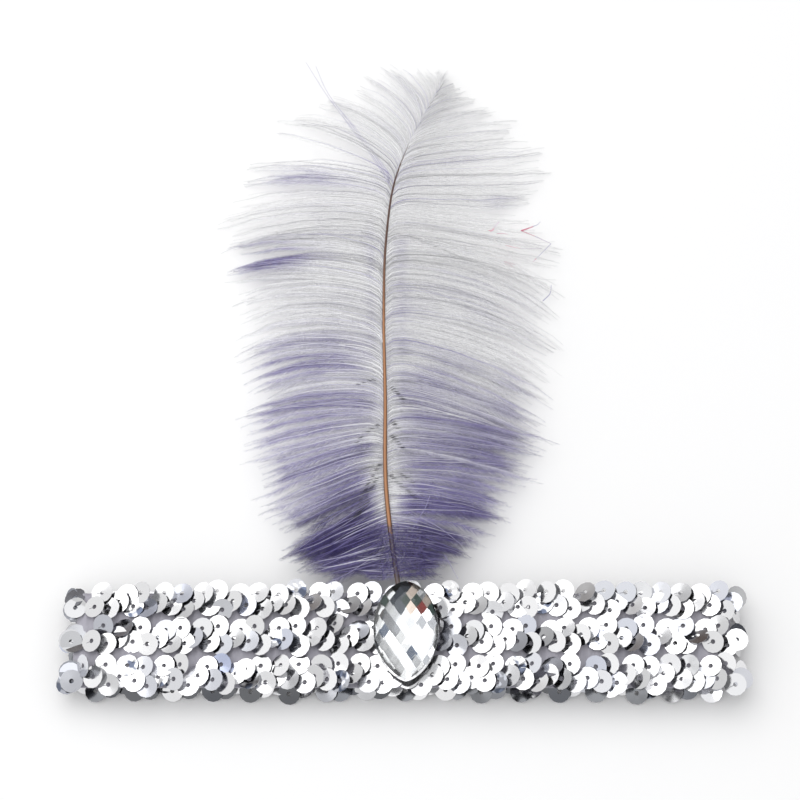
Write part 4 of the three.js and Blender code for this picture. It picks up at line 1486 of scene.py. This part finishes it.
def plume_piece(name, barbs, settings, chance, materials):
    """The barbs and down of one part of one side of the plume."""
    solid = barb_cores(barbs, settings), crease_shadow_dashes(barbs), down_strands(barbs, settings, chance)
    *strips, places = down_strips(barbs)
    mesh = painted_mesh(name, "dye", (*solid, strips), seconds=1)
    corners = np.empty(len(mesh.loops), np.int32)
    mesh.loops.foreach_get("vertex_index", corners)
    none = np.zeros((len(mesh.vertices) - len(places), 2))
    flat = np.concatenate((none, places))[corners]
    layer = mesh.uv_layers.new(name="strip")
    layer.data.foreach_set("uv", np.ascontiguousarray(flat, np.float32).ravel())
    add_piece(name, mesh, "plume", ["plume"], *materials)


def loose_strands():
    """The strands that lie loose over the plume: points, triangles and paint."""
    steps = BARB_STEPS + 1
    lines = np.stack([cubic_line(points, steps)[0] for _, _, *points in LOOSE_STRANDS])
    points, faces = round_tubes(lines, LOOSE_WIDTH / 2 * (1 - LOOSE_TAPER * np.linspace(0, 1, steps)))
    paint = np.array([(dye, 0.0, stain, 1.0) for dye, stain, *_ in LOOSE_STRANDS])
    return points, faces, np.repeat(paint, steps * BARB_SIDES, axis=0)


def quill_fluff(chance):
    """Short bent strands that cover the quill: points, triangles and paint."""
    low, high = np.array(FLUFF_ROOTS)
    root = chance.uniform(low, high, (FLUFF_COUNT, 3))
    heading = chance.normal(-math.pi / 2, FLUFF_TURN_SPREAD, FLUFF_COUNT)
    reach = chance.uniform(*FLUFF_REACH, FLUFF_COUNT)
    ahead = np.stack((np.cos(heading), np.sin(heading), FLUFF_FALL + 0 * heading), axis=1)
    aside = np.stack((-np.sin(heading), np.cos(heading), 0 * heading), axis=1)
    along = np.linspace(0, 1, BARB_STEPS + 1)
    bend = chance.normal(0, FLUFF_BEND, FLUFF_COUNT)[:, None] * along ** 2
    lines = (root[:, None, :] + ahead[:, None, :] * (reach[:, None] * along)[..., None]
             + aside[:, None, :] * bend[..., None])
    lines[..., 1] = np.maximum(lines[..., 1], FLUFF_LOWEST)
    points, faces = round_tubes(lines, FLUFF_WIDTH / 2 * (1 - LOOSE_TAPER * along))
    dye = np.clip(chance.normal(FLUFF_DYE, FLUFF_DYE_SPREAD, FLUFF_COUNT), *FLUFF_DYE_LIMITS)
    paint = np.stack((dye, 0 * dye, 0 * dye, 0 * dye + 1), axis=1)
    return points, faces, np.repeat(paint, len(along) * BARB_SIDES, axis=0)


class HEADBAND_OT_plume(bpy.types.Operator):
    """Make the plume's barbs and down"""

    bl_idname = "headband.plume"
    bl_label = "Plume"

    def execute(self, context):
        settings = context.scene.headband.plume
        materials = barb_finish(settings), down_finish(settings)
        chance = np.random.default_rng(PLUME_SEED)
        for side_name, side in (("left", -1), ("right", 1)):
            barbs = Barbs(side, settings.barbs, chance)
            for part_name, low, high in PLUME_PARTS:
                name = f"plume_{side_name}_{part_name}"
                plume_piece(name, barbs.part(low, high), settings, chance, materials)
        mesh = painted_mesh("plume_loose", "dye", (loose_strands(), quill_fluff(chance)))
        add_piece("plume_loose", mesh, "plume", ["plume"], materials[0])
        return {"FINISHED"}


MAKERS = (HEADBAND_OT_stage, HEADBAND_OT_elastic, HEADBAND_OT_sequins, HEADBAND_OT_stone, HEADBAND_OT_shaft,
          HEADBAND_OT_plume)


class HEADBAND_PT_panel(bpy.types.Panel):
    """The headband's makers and settings"""

    bl_idname = "HEADBAND_PT_panel"
    bl_label = "Sequin headband"
    bl_space_type = "VIEW_3D"
    bl_region_type = "UI"
    bl_category = "Headband"

    def draw(self, context):
        for maker in MAKERS:
            group = getattr(context.scene.headband, maker.bl_idname.split(".")[1])
            box = self.layout.box()
            box.operator(maker.bl_idname)
            for name in group.__annotations__:
                box.prop(group, name)


CLASSES = (StageSettings, ElasticSettings, SequinSettings, StoneSettings, ShaftSettings, PlumeSettings,
           HeadbandSettings, *MAKERS, HEADBAND_PT_panel)


def register():
    for kind in CLASSES:
        bpy.utils.register_class(kind)
    bpy.types.Scene.headband = PointerProperty(type=HeadbandSettings)


def unregister():
    del bpy.types.Scene.headband
    for kind in reversed(CLASSES):
        bpy.utils.unregister_class(kind)


def main():
    """Makes the headband."""
    register()
    bpy.ops.headband.stage()
    bpy.ops.headband.elastic()
    bpy.ops.headband.sequins()
    bpy.ops.headband.stone()
    bpy.ops.headband.shaft()
    bpy.ops.headband.plume()


if __name__ == "__main__":
    main()
